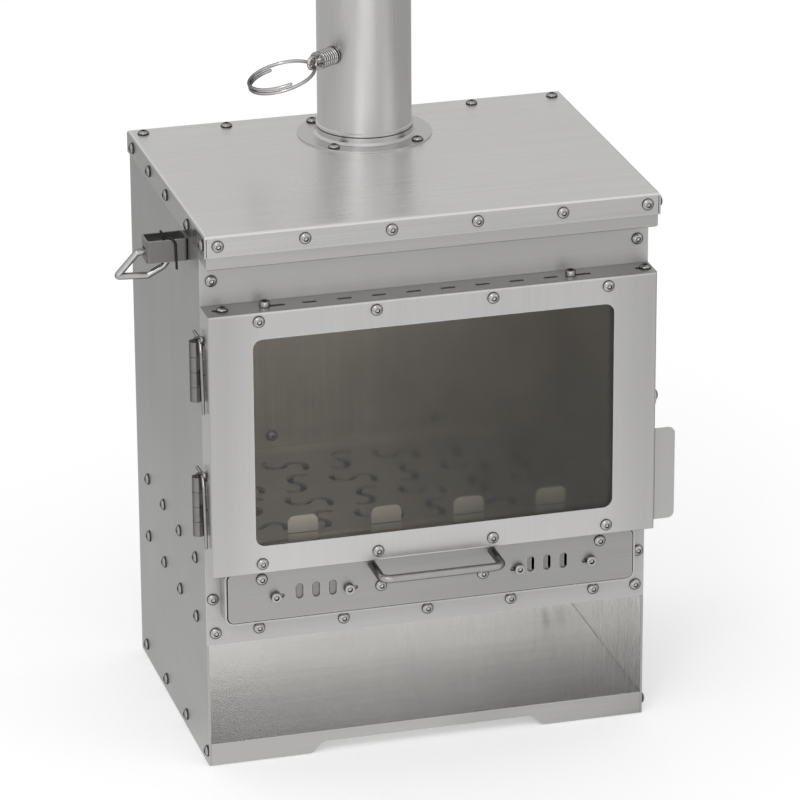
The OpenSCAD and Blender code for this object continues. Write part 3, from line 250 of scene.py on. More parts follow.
def grained(tree, grain, form, seed):
    """A noise that is drawn out along the grain."""
    across, lengthwise, detail, rough = form
    scale = tuple(lengthwise if part else across for part in AXES[grain])
    return noise(tree, scale, detail, rough, seed)


def streaks(tree, grain, seed):
    """Tone and height of the brushing along one grain."""
    fine = grained(tree, grain, FINE, seed)
    broad = grained(tree, grain, BROAD, seed + BROAD_SEED)
    scratch = grained(tree, grain, SCRATCH, seed + SCRATCH_SEED)
    tone = calc(tree, "ADD", calc(tree, "MULTIPLY", fine, FINE_SHARE),
                calc(tree, "MULTIPLY", broad, BROAD_SHARE))
    deep = remap(tree, scratch, SCRATCH_FROM, SCRATCH_FULL)
    height = calc(tree, "ADD", fine, calc(tree, "MULTIPLY", deep, SCRATCH_DEPTH))
    return tone, height


def in_zones(tree, zones, tint, metal, sooty, black):
    """Colour, metallic share, soot and polish with those of each zone laid in."""
    polish = 0.0
    for limits, zone_color, zone_soot, zone_metal, zone_polish in zones:
        inside = within(tree, limits)
        tint = mix(tree, inside, tint, shade(zone_color))
        metal = mix(tree, inside, metal, zone_metal, "FLOAT")
        polish = mix(tree, inside, polish, zone_polish, "FLOAT")
        if zone_soot:
            patches = remap(tree, black, *SOOT_SPAN, 0.0, zone_soot)
            layer = calc(tree, "MULTIPLY", inside, patches)
            sooty = layer if sooty is None else calc(tree, "MAXIMUM", sooty, layer)
    return tint, metal, sooty, polish


def faded(tree, tint, fade):
    """The tint with painted shade along one axis: it darkens by the factor from a low place to a
    high one. Where both places are positive, the two sides of the sheet are shaded alike."""
    axis, low, high, factor = fade
    place = split(tree, object_place(tree))[axis]
    if min(low, high) >= 0:
        place = calc(tree, "ABSOLUTE", place)
    there = remap(tree, place, low, high)
    return mix(tree, there, tint, mix(tree, factor, BLACK, tint))


def brushed(name, grain, color, rough, contrast, seed, other_face=None, zones=(), fade=None,
            soot=0.0, smear=0.6, metallic=0.85):
    """Brushed stainless sheet: fine and broad streaks along the grain, faint handling smudges,
    longer scratches, rubbed edges and shade painted into seams and crevices. Faces that look along
    the grain's axis, or along the axis that other_face names, have another grain and colour, which
    on the cover and the door is painted light and shade. zones give the colour, soot, metallic
    share and polish inside boxes, some of it painted light, fade paints shade along one axis, and
    smear draws highlights out across the grain."""
    mat, tree, bsdf = start(name)
    axis, other, other_color = other_face or ("xyz".index(grain), OTHER_GRAIN[grain], color)
    away = facing(tree, axis)
    tone, height = streaks(tree, grain, seed)
    other_tone, other_height = streaks(tree, other, seed + OTHER_SEED)
    tone = mix(tree, away, tone, other_tone, "FLOAT")
    height = mix(tree, away, height, other_height, "FLOAT")
    direction = mix(tree, away, AXES[grain], AXES[other], "VECTOR")
    tint = mix(tree, away, shade(color), shade(other_color))
    black = noise(tree, *SOOT_NOISE, seed + SOOT_SEED)
    smudge = noise(tree, *SMUDGE_NOISE, seed + SMUDGE_SEED)
    sooty = remap(tree, black, *SOOT_SPAN, 0.0, soot) if soot else None
    tint, metal, sooty, polish = in_zones(tree, zones, tint, metallic, sooty, black)
    if fade:
        tint = faded(tree, tint, fade)
    spread = STREAK_SPREAD * contrast
    level = remap(tree, tone, *STREAK_SPAN, 1 - spread, 1 + spread)
    dull = calc(tree, "SUBTRACT", level,
                remap(tree, smudge, *SMUDGE_SPAN, 0.0, SMUDGE_DULL * contrast))
    base = node(tree, "VectorMath", {0: tint, "Scale": dull}, operation="SCALE").outputs["Vector"]
    worn = calc(tree, "MULTIPLY", edge_wear(tree, SHEET_EDGE),
                remap(tree, smudge, *RUBBED_SPAN, *RUBBED_RANGE))
    base = mix(tree, calc(tree, "MULTIPLY", worn, RUBBED_SHARE), base, RUBBED)
    if sooty is not None:
        base = mix(tree, sooty, base, SOOT)
    # Painted shade: crevices and the lines where parts meet darken towards a near-black colour
    crevice_shade = calc(tree, "MULTIPLY", crevice(tree, SEAM_SHADE), CREVICE_SHADE_SHARE)
    base = mix(tree, crevice_shade, base, PAINTED_SHADE)
    brushing = remap(tree, tone, *STREAK_ROUGH_SPAN, rough - SMOOTHER, rough + ROUGHER)
    handling = remap(tree, smudge, *SMUDGE_ROUGH_SPAN, *SMUDGE_ROUGH)
    roughness = calc(tree, "ADD", brushing, handling)
    roughness = calc(tree, "SUBTRACT", roughness, calc(tree, "MULTIPLY", worn, RUBBED_GLOSS))
    roughness = calc(tree, "SUBTRACT", roughness, polish)
    bump = node(tree, "Bump", {"Height": height, "Strength": STREAK_BUMP * contrast,
                               "Distance": STREAK_DEPTH})
    feed(tree, bsdf, {"Base Color": base, "Metallic": metal, "Roughness": roughness,
                      "Normal": bump.outputs["Normal"]})
    if smear:
        drawn = node(tree, "VectorTransform", {"Vector": direction}, vector_type="VECTOR",
                     convert_from="OBJECT", convert_to="WORLD").outputs["Vector"]
        plain = node(tree, "NewGeometry").outputs["Normal"]
        across = node(tree, "VectorMath", {0: plain, 1: drawn}, operation="CROSS_PRODUCT")
        feed(tree, bsdf, {"Tangent": across.outputs["Vector"], "Anisotropic": smear})
    return mat


def turned(name, color, rough, seed, metallic=1.0, wear=0.3, outline=0.0):
    """Smooth drawn or turned metal with fine tool marks, dulled patches and bright edges; outline
    paints shade on the faces that turn away from the view, a painted dark rim."""
    mat, tree, bsdf = start(name)
    marks = noise(tree, *MARKS_NOISE, seed)
    patch = noise(tree, *PATCH_NOISE, seed + PATCH_SEED)
    dulled = remap(tree, patch, *PATCH_SPAN, 0.0, wear)
    base = mix(tree, dulled, shade(color), shade(color, PATCH_TONE))
    bright = tuple(min(1.0, c * EDGE_GAIN + EDGE_LIFT) for c in color)
    worn = calc(tree, "MULTIPLY", edge_wear(tree, WIRE_EDGE), EDGE_SHARE)
    base = mix(tree, worn, base, shade(bright))
    # Painted shade: faces that turn away from the view darken towards the near-black shade colour
    if outline:
        away = node(tree, "LayerWeight", {"Blend": 0.5}).outputs["Facing"]
        dark = remap(tree, away, OUTLINE_SHADE_FROM, OUTLINE_SHADE_FULL, 0.0, outline)
        base = mix(tree, dark, base, PAINTED_SHADE)
    roughness = remap(tree, patch, *PATCH_ROUGH_SPAN, rough, rough + PATCH_ROUGH)
    bump = node(tree, "Bump", {"Height": marks, "Strength": MARKS_BUMP, "Distance": MARKS_DEPTH})
    feed(tree, bsdf, {"Base Color": base, "Metallic": metallic, "Roughness": roughness,
                      "Normal": bump.outputs["Normal"]})
    return mat


# Tones of the inside places and of the cover's front lip, and how much smoother the bay's walls
# are than the rest of their sheets
# Painted light: the bay's walls and the ash floor's underside are much lighter than the same
# sheets outside, as light in the open bay
LIT_BAY_TONE = (0.97, 0.965, 0.955)
LIT_BAY_WALL_TONE = (0.93, 0.925, 0.915)
BAY_POLISH = 0.12
# The firebox's heat tint, painted lighter than the outer sheet as light inside the firebox
FIRE_TINT_AND_LIGHT = (0.82, 0.79, 0.735)
STOP_TONE = (0.69, 0.66, 0.585)
# Painted shade: a dark line along the log stops' fold
FOLD_SHADE_TONE = (0.2, 0.18, 0.15)
# Painted light: the cover's front lip, a tone between its lit top and its shaded side lips
LIP_PAINTED_TONE = (0.58, 0.575, 0.567)

# Boxes of object coordinates: the bay under the fire floor, the firebox over it, the log stops
# with their fold, the underside of the ash floor and the cover's front lip
BAY = ((-0.1986, 0.1986), (-0.1314, 0.1314), (0.0, 0.1155))
FIREBOX = ((-0.1986, 0.1986), (-0.1314, 0.1314), (0.1155, 0.48))
STOPS = ((-0.16, 0.16), (-0.134, -0.130), (0.2, 0.235))
STOP_FOLD = ((-0.16, 0.16), (-0.134, -0.130), (0.2135, 0.2143))
UNDERSIDE = ((-0.21, 0.21), (-0.1314, 0.14), (0.0, 0.1225))
LIP = ((-0.203, 0.203), (-0.166, -0.1585), (0.47, 0.5022))

# Zones: box, colour, soot, metallic share and polish
INSIDE = ((BAY, LIT_BAY_WALL_TONE, 0.0, 0.9, BAY_POLISH), (FIREBOX, FIRE_TINT_AND_LIGHT, 0.1, 0.7, 0.0),
          (STOPS, STOP_TONE, 0.0, 0.2, 0.0), (STOP_FOLD, FOLD_SHADE_TONE, 0.0, 0.5, 0.0))
PAN_UNDER = (UNDERSIDE, LIT_BAY_TONE, 0.0, 0.9, 0.0)
FRONT_LIP = (LIP, LIP_PAINTED_TONE, 0.0, 0.9, 0.0)

# The brushed parts are one stainless steel; each part's tone is set to paint the light and shade
# it gets, lightest on the cover's top and darkest on the shaded side panels
cover_metal = brushed(
    "brushed_cover", "x", (0.77, 0.763, 0.752), rough=0.30, contrast=0.55, seed=1.0,
    # Painted light and shade: the top is lightest, the side lips are painted darker
    other_face=(0, "z", (0.46, 0.456, 0.45)), metallic=0.95, zones=(FRONT_LIP,))
hood_metal = brushed(
    "brushed_hood", "x", (0.47, 0.466, 0.459), rough=0.34, contrast=0.5, seed=2.0)
front_metal = brushed(
    "brushed_front", "x", (0.50, 0.496, 0.489), rough=0.38, contrast=0.5, seed=2.6,
    zones=INSIDE, metallic=0.45)
drawer_metal = brushed(
    "brushed_drawer", "x", (0.38, 0.376, 0.37), rough=0.34, contrast=0.6, seed=3.4)
door_metal = brushed(
    "brushed_door", "z", (0.61, 0.605, 0.596), rough=0.33, contrast=0.35, seed=3.0,
    # Painted shade: the top and bottom faces are darker, and the stiles darken outwards from the
    # rails
    other_face=(2, "x", (0.50, 0.495, 0.487)), fade=(0, 0.150, 0.185, 0.84))
side_metal = brushed(
    "brushed_side", "z", (0.405, 0.402, 0.397), rough=0.36, contrast=0.45, seed=4.0,
    zones=INSIDE)
base_metal = brushed(
    "brushed_base", "x", (0.93, 0.923, 0.91), rough=0.17, contrast=0.6, seed=6.0,
    # Painted light: the bay's floor is near white, with painted shade darkening it towards the
    # front
    zones=(PAN_UNDER,), fade=(1, 0.02, -0.131, 0.47))
pan_metal = brushed(
    "brushed_pan", "x", (0.52, 0.516, 0.508), rough=0.17, contrast=0.6, seed=6.5,
    zones=(PAN_UNDER,))
inner_metal = brushed(
    "inner_sheet", "z", FIRE_TINT_AND_LIGHT, rough=0.42, contrast=0.9, seed=7.0, soot=0.1, metallic=0.7)
slide_metal = brushed(
    "slide_sheet", "x", (0.27, 0.266, 0.258), rough=0.42, contrast=0.9, seed=7.2)
sooted_metal = brushed(
    "sooted_slide", "x", (0.012, 0.0115, 0.011), rough=0.6, contrast=0.9, seed=7.3)
hearth_metal = brushed(
    "hearth_sheet", "x", (0.66, 0.63, 0.585), rough=0.42, contrast=1.0, seed=7.5, soot=0.06,
    metallic=0.7)
grate_metal = brushed(
    "grate_plate", "x", (0.60, 0.575, 0.535), rough=0.45, contrast=0.9, seed=8.0, soot=0.06,
    metallic=0.65)
pipe_metal = brushed(
    "brushed_pipe", "z", (0.61, 0.605, 0.596), rough=0.30, contrast=0.22, seed=10.0, smear=0.0,
    metallic=0.95)
bracket_metal = brushed(
    "bracket_sheet", "z", (0.24, 0.236, 0.23), rough=0.38, contrast=0.8, seed=12.0)
fitting_metal = brushed(
    "fittings", "z", (0.50, 0.496, 0.488), rough=0.28, contrast=0.15, seed=13.0, smear=0.0)
knuckle_metal = turned("knuckles", (0.27, 0.266, 0.26), 0.30, seed=14.0, outline=0.85)
screw_metal = turned("screws", (0.47, 0.465, 0.455), 0.20, seed=2.0, wear=0.2, outline=0.9)
# Painted shade: the sockets are near black as shade in a recess, and the ring at each head's foot
# is a painted shadow
socket_shade_metal = turned("screw_recess_shade", (0.045, 0.044, 0.042), 0.40, seed=3.0, metallic=0.8)
rim_shadow_metal = turned("screw_rim_shadow", (0.07, 0.068, 0.065), 0.35, seed=3.5)
bright_metal = turned("bright_wire", (0.57, 0.562, 0.553), 0.08, seed=4.0, wear=0.15,
                      outline=1.0)
clip_metal = turned("hinge_clip", (0.40, 0.395, 0.385), 0.14, seed=4.5, wear=0.4, outline=1.0)
dark_metal = turned("dark_wire", (0.05, 0.048, 0.046), 0.32, seed=6.0, wear=0.4)
rod_metal = turned("bent_rod", (0.40, 0.395, 0.385), 0.26, seed=8.0, outline=0.8)
bail_metal = turned("bail_rod", (0.48, 0.474, 0.465), 0.18, seed=9.0, wear=0.2, outline=0.9)

# Glass: tint and roughness of its clear left side and its filmed right side
CLEAR_TINT = (0.96, 0.93, 0.875, 1.0)
FILMED_TINT = (0.56, 0.545, 0.52, 1.0)
CLEAR_X, FILMED_X = -0.16, 0.10
CLEAR_ROUGH, FILMED_ROUGH = 0.01, 0.21
HAZE_NOISE, HAZE_SEED, HAZE_SPAN = ((14.0, 14.0, 14.0), 4.0, 0.6), 3.0, (0.3, 0.7)
FILM_SHARE, HAZE_SHARE, FILM_ROUGH_SPAN = 0.8, 0.2, (0.1, 1.0)
GLASS_IOR = 1.45


def glass():
    """Heat-resistant pane: a brown smoke film that thickens from left to right, and a faint
    haze that varies over its face."""
    mat, tree, bsdf = start("window")
    haze = noise(tree, *HAZE_NOISE, HAZE_SEED)
    across = split(tree, object_place(tree))["X"]
    film = calc(tree, "ADD", remap(tree, across, CLEAR_X, FILMED_X, 0.0, FILM_SHARE),
                remap(tree, haze, *HAZE_SPAN, 0.0, HAZE_SHARE))
    feed(tree, bsdf, {
        "Base Color": mix(tree, film, CLEAR_TINT, FILMED_TINT),
        "Roughness": remap(tree, film, *FILM_ROUGH_SPAN, CLEAR_ROUGH, FILMED_ROUGH),
        "Transmission Weight": 1.0, "IOR": GLASS_IOR})
    return mat


# Woven glass fibre: how uneven its threads are, and the fuzz over them
THREADS = {"Scale": 1.0, "Distortion": 1.5, "Detail": 2.0}
FUZZ_NOISE, FUZZ_SPAN = ((900.0, 900.0, 900.0), 3.0, 0.6), (0.3, 0.7)
FUZZ_TONES, FUZZ_ROUGH, FUZZ_SHEEN = (0.7, 1.1), (0.82, 0.95), 0.2
THREAD_BUMP, THREAD_DEPTH = 0.5, 0.0005


def woven(name, color, dark, pitch, seed):
    """Glass-fibre tape or rope: slanting threads with fuzz over them; pitch in metres."""
    mat, tree, bsdf = start(name)
    where = stretched(tree, (1 / pitch,) * 3, seed)
    ribs = node(tree, "TexWave", {"Vector": where, **THREADS}, wave_type="BANDS",
                bands_direction="DIAGONAL").outputs["Fac"]
    fuzz = noise(tree, *FUZZ_NOISE, seed)
    tone = calc(tree, "MULTIPLY", ribs, remap(tree, fuzz, *FUZZ_SPAN, *FUZZ_TONES))
    bump = node(tree, "Bump", {"Height": tone, "Strength": THREAD_BUMP,
                               "Distance": THREAD_DEPTH})
    feed(tree, bsdf, {
        "Base Color": mix(tree, tone, shade(dark), shade(color)),
        "Roughness": remap(tree, fuzz, *FUZZ_SPAN, *FUZZ_ROUGH),
        "Sheen Weight": FUZZ_SHEEN, "Normal": bump.outputs["Normal"]})
    return mat


window_mat = glass()
rope_mat = woven("rope", (0.10, 0.098, 0.094), (0.03, 0.03, 0.03), pitch=0.0016, seed=2.0)
tape_mat = woven("gasket_tape", (0.20, 0.19, 0.175), (0.07, 0.065, 0.06), pitch=0.0012,
                 seed=5.0)

# The finish of every CAD node; pieces that replace nodes get theirs as they are built
FINISH = {
    side_metal: ["side_panel_left", "side_panel_right", "back_panel"],
    front_metal: ["front_plate", "drawer_collar"],
    hood_metal: ["front_hood"],
    drawer_metal: ["drawer_face"],
    base_metal: ["base_plate"],
    pan_metal: ["ash_floor"],
    hearth_metal: ["hearth_plate"],
    inner_metal: ["rear_liner", "smoke_baffle", "baffle_rests", "damper_plate"],
    slide_metal: ["intake_slide_left", "intake_slide_right", "drawer_runners", "drawer_tray",
                  "glass_retainer"],
    sooted_metal: ["vent_slide"],
    grate_metal: ["fire_grate"],
    cover_metal: ["top_cover"],
    pipe_metal: ["flue_pipe", "flue_collar"],
    fitting_metal: ["keeper_spring", "latch_lever"],
    knuckle_metal: ["body_knuckles", "door_knuckles"],
    bracket_metal: ["bracket_left"],
    dark_metal: ["bracket_clip"],
    door_metal: ["door_frame"],
    window_mat: ["window_glass"],
    tape_mat: ["glass_gasket"],
    rope_mat: ["rope_gasket"],
    rod_metal: ["drawer_handle"],
    bail_metal: ["bail_left"],
    bright_metal: ["hinge_pins", "damper_shaft", "damper_spring", "split_ring"],
    screw_metal: ["cover_screws", "front_screws", "side_screws", "back_screws", "collar_screws",
                  "liner_screws", "bracket_rivets", "keeper_screws", "door_screws",
                  "latch_screw", "vent_knobs", "drawer_screws", "intake_knobs_left",
                  "intake_knobs_right"],
}
for finish, names in FINISH.items():
    for name in names:
        nodes[name].data.materials.clear()
        nodes[name].data.materials.append(finish)


# ------------------------------------------------------------------ meshes

def new_piece(name, points, faces, finishes, stands_for, smooth):
    """A mesh in place of a CAD node, on the node's body; points are in millimetres, each
    face has the number of its finish, and edges under smooth degrees are shaded smooth."""
    mesh = bpy.data.meshes.new(name)
    mesh.from_pydata([p * MM for p in points], [], [face for face, finish in faces])
    for polygon, (face, finish) in zip(mesh.polygons, faces):
        polygon.material_index = finish
    for finish in finishes:
        mesh.materials.append(finish)
    mesh.shade_smooth()
    mesh.set_sharp_from_angle(angle=math.radians(smooth))
    piece = bpy.data.objects.new(name, mesh)
    scene.collection.objects.link(piece)
    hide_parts(stands_for)
    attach(piece, nodes[stands_for]["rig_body"])


# Decimals of a millimetre at which points are one, points of the smallest solid, and the
# share of a screw's radius that only its head reaches
ROUNDING = 2
FEWEST_POINTS = 20
HEAD_SHARE = 0.95


def islands(name):
    """The separate solids of a node: the points of each, in millimetres."""
    mesh = nodes[name].data
    key_of = [tuple(round(c / MM, ROUNDING) for c in v.co) for v in mesh.vertices]
    parent = {key: key for key in key_of}

    def root(key):
        while parent[key] != key:
            parent[key] = parent[parent[key]]
            key = parent[key]
        return key

    for edge in mesh.edges:
        a, b = (root(key_of[i]) for i in edge.vertices)
        parent[a] = b
    groups = {}
    for key in parent:
        groups.setdefault(root(key), []).append(Vector(key))
    return [points for points in groups.values() if len(points) > FEWEST_POINTS]


def screw_axis(points):
    """The direction that a screw's head looks in, the screw's middle and its length."""
    low = Vector([min(p[i] for p in points) for i in range(3)])
    high = Vector([max(p[i] for p in points) for i in range(3)])
    size = high - low
    middle = (low + high) / 2
    # A screw is round, so it is the same size along the two axes that cross its own
    axis = min(range(3), key=lambda i: abs(size[(i + 1) % 3] - size[(i + 2) % 3]))

    def reach(p):
        from_middle = p - middle
        from_middle[axis] = 0
        return from_middle.length

    widest = max(reach(p) for p in points)
    rim = [p[axis] for p in points if reach(p) > HEAD_SHARE * widest]
    sign = 1 if sum(rim) / len(rim) > middle[axis] else -1
    out = Vector([sign if i == axis else 0 for i in range(3)])
    return out, middle, size[axis]


# Profiles from the seat outwards: radius, height and finish (0 head, 1 recess with painted shade,
# 2 rim with a painted shadow ring round the head's foot); a negative radius is the corner radius
# of a hexagon socket
BUTTON = {"height": 3.3, "shank": 3.0, "outline": [
    (3.0, 0, 2), (4.7, 0, 2), (5.25, 0.22, 2), (5.25, 0.85, 2), (5.05, 1.35, 2), (4.62, 1.95, 0),
    (4.0, 2.45, 0), (3.3, 2.88, 0), (2.75, 3.12, 0), (2.3, 3.28, 0), (-2.0, 3.22, 1),
    (-1.92, 3.0, 1), (-1.9, 1.5, 1), (0.7, 1.15, 0)]}
CAP = {"height": 5.0, "shank": 2.0, "outline": [
    (2.0, 0, 2), (4.2, 0, 2), (4.6, 0.35, 2), (4.6, 0.8, 0), (4.6, 4.2, 0), (4.45, 4.7, 0),
    (4.1, 4.95, 0), (3.6, 5.0, 0), (2.75, 5.0, 0), (2.4, 4.9, 0), (-2.2, 4.7, 1),
    (-2.15, 4.5, 1), (-2.1, 2.4, 1), (0.9, 2.1, 0)]}
RIVET = {"height": 1.5, "shank": 1.9, "outline": [
    (1.9, 0, 2), (2.95, 0, 2), (3.2, 0.2, 2), (3.2, 0.5, 0), (2.75, 0.9, 0), (2.1, 1.2, 0),
    (1.4, 1.38, 0), (1.0, 1.44, 0), (0.85, 1.3, 1), (0.75, 1.0, 1)]}
# Points round a screw, and the chamfer of its end
ROUND = 48
CHAMFER = 0.4


def ring_radius(radius, angle):
    """The radius of a round, or of a hexagon when it is given as a negative number."""
    if radius > 0:
        return radius
    side = math.radians(60)
    return -radius * math.cos(side / 2) / math.cos(angle % side - side / 2)


def band(faces, a, b, sides, finish=0):
    """Adds the faces between two rings of points that begin at a and b."""
    for i in range(sides):
        j = (i + 1) % sides
        faces.append(((a + i, a + j, b + j, b + i), finish))


def fastener(form, points, faces, where, out, length, spin):
    """Adds one turned screw or rivet: a closed revolve with its socket or dimple."""
    head, shank = form["height"], form["shank"]
    grip = length - head
    outline = [(shank - CHAMFER, -grip, 2), (shank, -grip + CHAMFER, 2)] + form["outline"]
    side = Vector((1, 0, 0)) if abs(out.x) < 0.5 else Vector((0, 1, 0))
    other = out.cross(side)
    seat = where + out * (length / 2 - head)
    first = len(points)
    for radius, height, finish in outline:
        for i in range(ROUND):
            angle = 2 * math.pi * i / ROUND
            reach = ring_radius(radius, angle)
            around = angle + spin
            points.append(seat + out * height + side * reach * math.cos(around)
                          + other * reach * math.sin(around))
    for k in range(len(outline) - 1):
        band(faces, first + k * ROUND, first + (k + 1) * ROUND, ROUND, outline[k + 1][2])
    last = first + (len(outline) - 1) * ROUND
    faces.append((tuple(first + i for i in reversed(range(ROUND))), 2))
    faces.append((tuple(last + i for i in range(ROUND)), outline[-1][2]))


def fasteners(name, form, seed):
    """Replaces all screws or rivets of a node, each with its socket at a turn of its own."""
    turns = random.Random(seed)
    points, faces = [], []
    for solid in islands(name):
        out, middle, length = screw_axis(solid)
        fastener(form, points, faces, middle, out, length, turns.uniform(0, math.pi / 3))
    new_piece(name + "_fine", points, faces, (screw_metal, socket_shade_metal, rim_shadow_metal),
              name, smooth=32.0)


BUTTON_NODES = ("cover_screws", "front_screws", "side_screws", "back_screws", "collar_screws",
                "keeper_screws", "door_screws", "drawer_screws", "latch_screw")
CAP_NODES = ("vent_knobs", "intake_knobs_left", "intake_knobs_right")
CAP_SEED, RIVET_SEED = 40, 60
for seed, name in enumerate(BUTTON_NODES):
    fasteners(name, BUTTON, seed)
for seed, name in enumerate(CAP_NODES, CAP_SEED):
    fasteners(name, CAP, seed)
fasteners("bracket_rivets", RIVET, RIVET_SEED)


# ------------------------------------------------------------------ wires

# The share of a straight run that one corner may take, and the steps of its arc
CORNER_SHARE = 0.45
BEND_STEPS = 8
# A tube's rounded end, from the tube to its tip: ring size and reach as shares of the radius
DOME = ((0.92, 0.39), (0.7, 0.71), (0.38, 0.92))


def bent(points, radius):
    """A path of straight runs whose corners are rounded by arcs."""
    points = [Vector(p) for p in points]
    path = [points[0]]
    for a, b, c in zip(points, points[1:], points[2:]):
        u, v = (a - b).normalized(), (c - b).normalized()
        half = u.angle(v) / 2
        room = CORNER_SHARE * min((a - b).length, (c - b).length)
        cut = min(radius / math.tan(half), room)
        centre = b + (u + v).normalized() * (cut / math.cos(half))
        start_arm, end_arm = b + u * cut - centre, b + v * cut - centre
        for i in range(BEND_STEPS + 1):
            path.append(centre + start_arm.slerp(end_arm, i / BEND_STEPS))
    path.append(points[-1])
    return path


def tube(path, radius, sides=16):
    """A closed round tube along a path, with rounded ends."""
    last = len(path) - 1
    heading = [(path[min(i + 1, last)] - path[max(i - 1, 0)]).normalized()
               for i in range(last + 1)]
    side = heading[0].orthogonal().normalized()
    rings = []
    for at, ahead in zip(path, heading):
        side = (side - ahead * side.dot(ahead)).normalized()
        rings.append((at, ahead, side, radius))
    at, ahead, side, radius = rings[0]
    head = [(at + ahead * radius * (1 - reach), ahead, side, radius * size)
            for size, reach in reversed(DOME)]
    rings[0] = (at + ahead * radius, ahead, side, radius)
    at, ahead, side, radius = rings[last]
    tail = [(at - ahead * radius * (1 - reach), ahead, side, radius * size)
            for size, reach in DOME]
    rings[last] = (at - ahead * radius, ahead, side, radius)
    rings = head + rings + tail
    points, faces = [], []
    for at, ahead, side, size in rings:
        third = ahead.cross(side)
        for i in range(sides):
            angle = 2 * math.pi * i / sides
            points.append(at + (side * math.cos(angle) + third * math.sin(angle)) * size)
    for k in range(len(rings) - 1):
        band(faces, k * sides, (k + 1) * sides, sides)
    faces.append((tuple(reversed(range(sides))), 0))
    faces.append((tuple((len(rings) - 1) * sides + i for i in range(sides)), 0))
    return points, faces


def joined(parts):
    """Several lists of points and faces as one."""
    points, faces = [], []
    for more_points, more_faces in parts:
        shift = len(points)
        points += more_points
        faces += [(tuple(i + shift for i in face), finish) for face, finish in more_faces]
    return points, faces


def wire_piece(name, parts, finish):
    """Replaces a wire node by tubes."""
    points, faces = joined(parts)
    new_piece(name + "_fine", points, faces, (finish,), name, smooth=60.0)


def moved(path, matrix):
    """A path taken through a matrix."""
    return [matrix @ p for p in path]


def turn(axis, degrees):
    """A rotation about an axis."""
    return Matrix.Rotation(math.radians(degrees), 4, axis)


MIRROR = Matrix.Scale(-1, 4, (1, 0, 0))

# The bail's closed loop, given on the right and mirrored to the left side: distance from the
# bracket's outer wall and height over the pivot of each corner
BAIL_AT = (0, -81, 469.5)
BAIL_R, BAIL_BEND, BRACKET_OUT = 3.0, 3.6, 236
BAIL_CORNERS = ((-12, 0), (7.5, 0), (30, -24.5), (-3, -26.5), (-18, -19), (-26.5, -8),
                (-26.5, 0), (-12.5, 0))
bail_path = [(BRACKET_OUT + x, 0, z) for x, z in BAIL_CORNERS]
to_left = Matrix.Translation(BAIL_AT) @ MIRROR
wire_piece("bail_left", [tube(moved(bent(bail_path, BAIL_BEND), to_left), BAIL_R, 24)],
           bail_metal)

# The dark spring clip over the bracket's front wall, mirrored in the same way
CLIP_X, CLIP_IN, CLIP_OUT, CLIP_LOW, CLIP_TOP = 220, -89.3, -93.2, 464.5, 480.8
CLIP_R, CLIP_BEND, CLIP_END = 1.1, 1.5, 452.5
clip_path = [(CLIP_X + 3.5, CLIP_IN, CLIP_TOP + 7.5), (CLIP_X, CLIP_IN, CLIP_TOP + 1.5),
             (CLIP_X, CLIP_IN, CLIP_LOW), (CLIP_X - 5, CLIP_IN, CLIP_LOW),
             (CLIP_X - 5, CLIP_IN, CLIP_TOP), (CLIP_X - 6, CLIP_OUT, CLIP_TOP),
             (CLIP_X - 9.5, CLIP_OUT, CLIP_TOP - 5), (CLIP_X - 9.5, CLIP_OUT, CLIP_END)]
wire_piece("bracket_clip", [tube(moved(bent(clip_path, CLIP_BEND), MIRROR), CLIP_R)],
           dark_metal)

# Hinge clips: the pin with its curled upper end, and the leg along the door's side that
# leans back over the knuckles
HINGE_X, HINGE_Y, HINGE_Z, HINGE_PITCH, KNUCKLES = -205.3, -132.8, 222.0, 124.6, 55.2
PIN_R, LEG_R, LEG_X, LEG_Y = 1.6, 1.5, 2.6, -17.0
PIN_BEND, LEG_BEND = 1.7, 4.0
pin_path = [(0, 0, 0), (0, 0, KNUCKLES - 2), (0, 0, KNUCKLES + 2.5), (2.2, -8, KNUCKLES + 6),
            (3.2, -12.5, KNUCKLES + 7.3), (3.1, -14.5, KNUCKLES + 4.2), (2.6, -11, KNUCKLES + 3.8)]
leg_path = [(LEG_X, LEG_Y, -7), (LEG_X, LEG_Y, KNUCKLES - 4), (0.9, -7, KNUCKLES + 1.8),
            (-0.3, 2.5, KNUCKLES + 8)]
clips = []
for clip in range(2):
    at = Matrix.Translation((HINGE_X, HINGE_Y, HINGE_Z + clip * HINGE_PITCH))
    clips.append(tube(moved(bent(pin_path, PIN_BEND), at), PIN_R))
    clips.append(tube(moved(bent(leg_path, LEG_BEND), at), LEG_R))
wire_piece("hinge_pins", clips, clip_metal)

# Damper spring: a helix between its washers, with closed turns at both ends
SHAFT_AT, SHAFT_YAW = (0, 68.5, 586.5), 215
shaft_frame = Matrix.Translation(SHAFT_AT) @ turn("Z", SHAFT_YAW) @ turn("Y", 90)
COIL_R, COIL_WIRE, COILS, COIL_START, COIL_PITCH = 7.1, 0.9, 6, 43.4, 2.9
COIL_STEPS, COIL_END = 40, 0.75


def coil_height(turns_done):
    """Place along the shaft: closed turns that touch at the ends, open turns between."""
    closed = 2 * COIL_WIRE * COIL_END
    span = COILS * COIL_PITCH - closed
    lead = closed * min(turns_done / COIL_END, 1)
    rise = span * min(max((turns_done - COIL_END) / COILS, 0), 1)
    tail = closed * min(max((turns_done - COIL_END - COILS) / COIL_END, 0), 1)
    return COIL_START + COIL_WIRE + lead + rise + tail


coil_path = []
for i in range(int((COILS + 2 * COIL_END) * COIL_STEPS) + 1):
    turns_done = i / COIL_STEPS
    angle = 2 * math.pi * turns_done
    coil_path.append(Vector((COIL_R * math.cos(angle), COIL_R * math.sin(angle),
                             coil_height(turns_done))))
wire_piece("damper_spring", [tube(moved(coil_path, shaft_frame), COIL_WIRE, 12)], bright_metal)

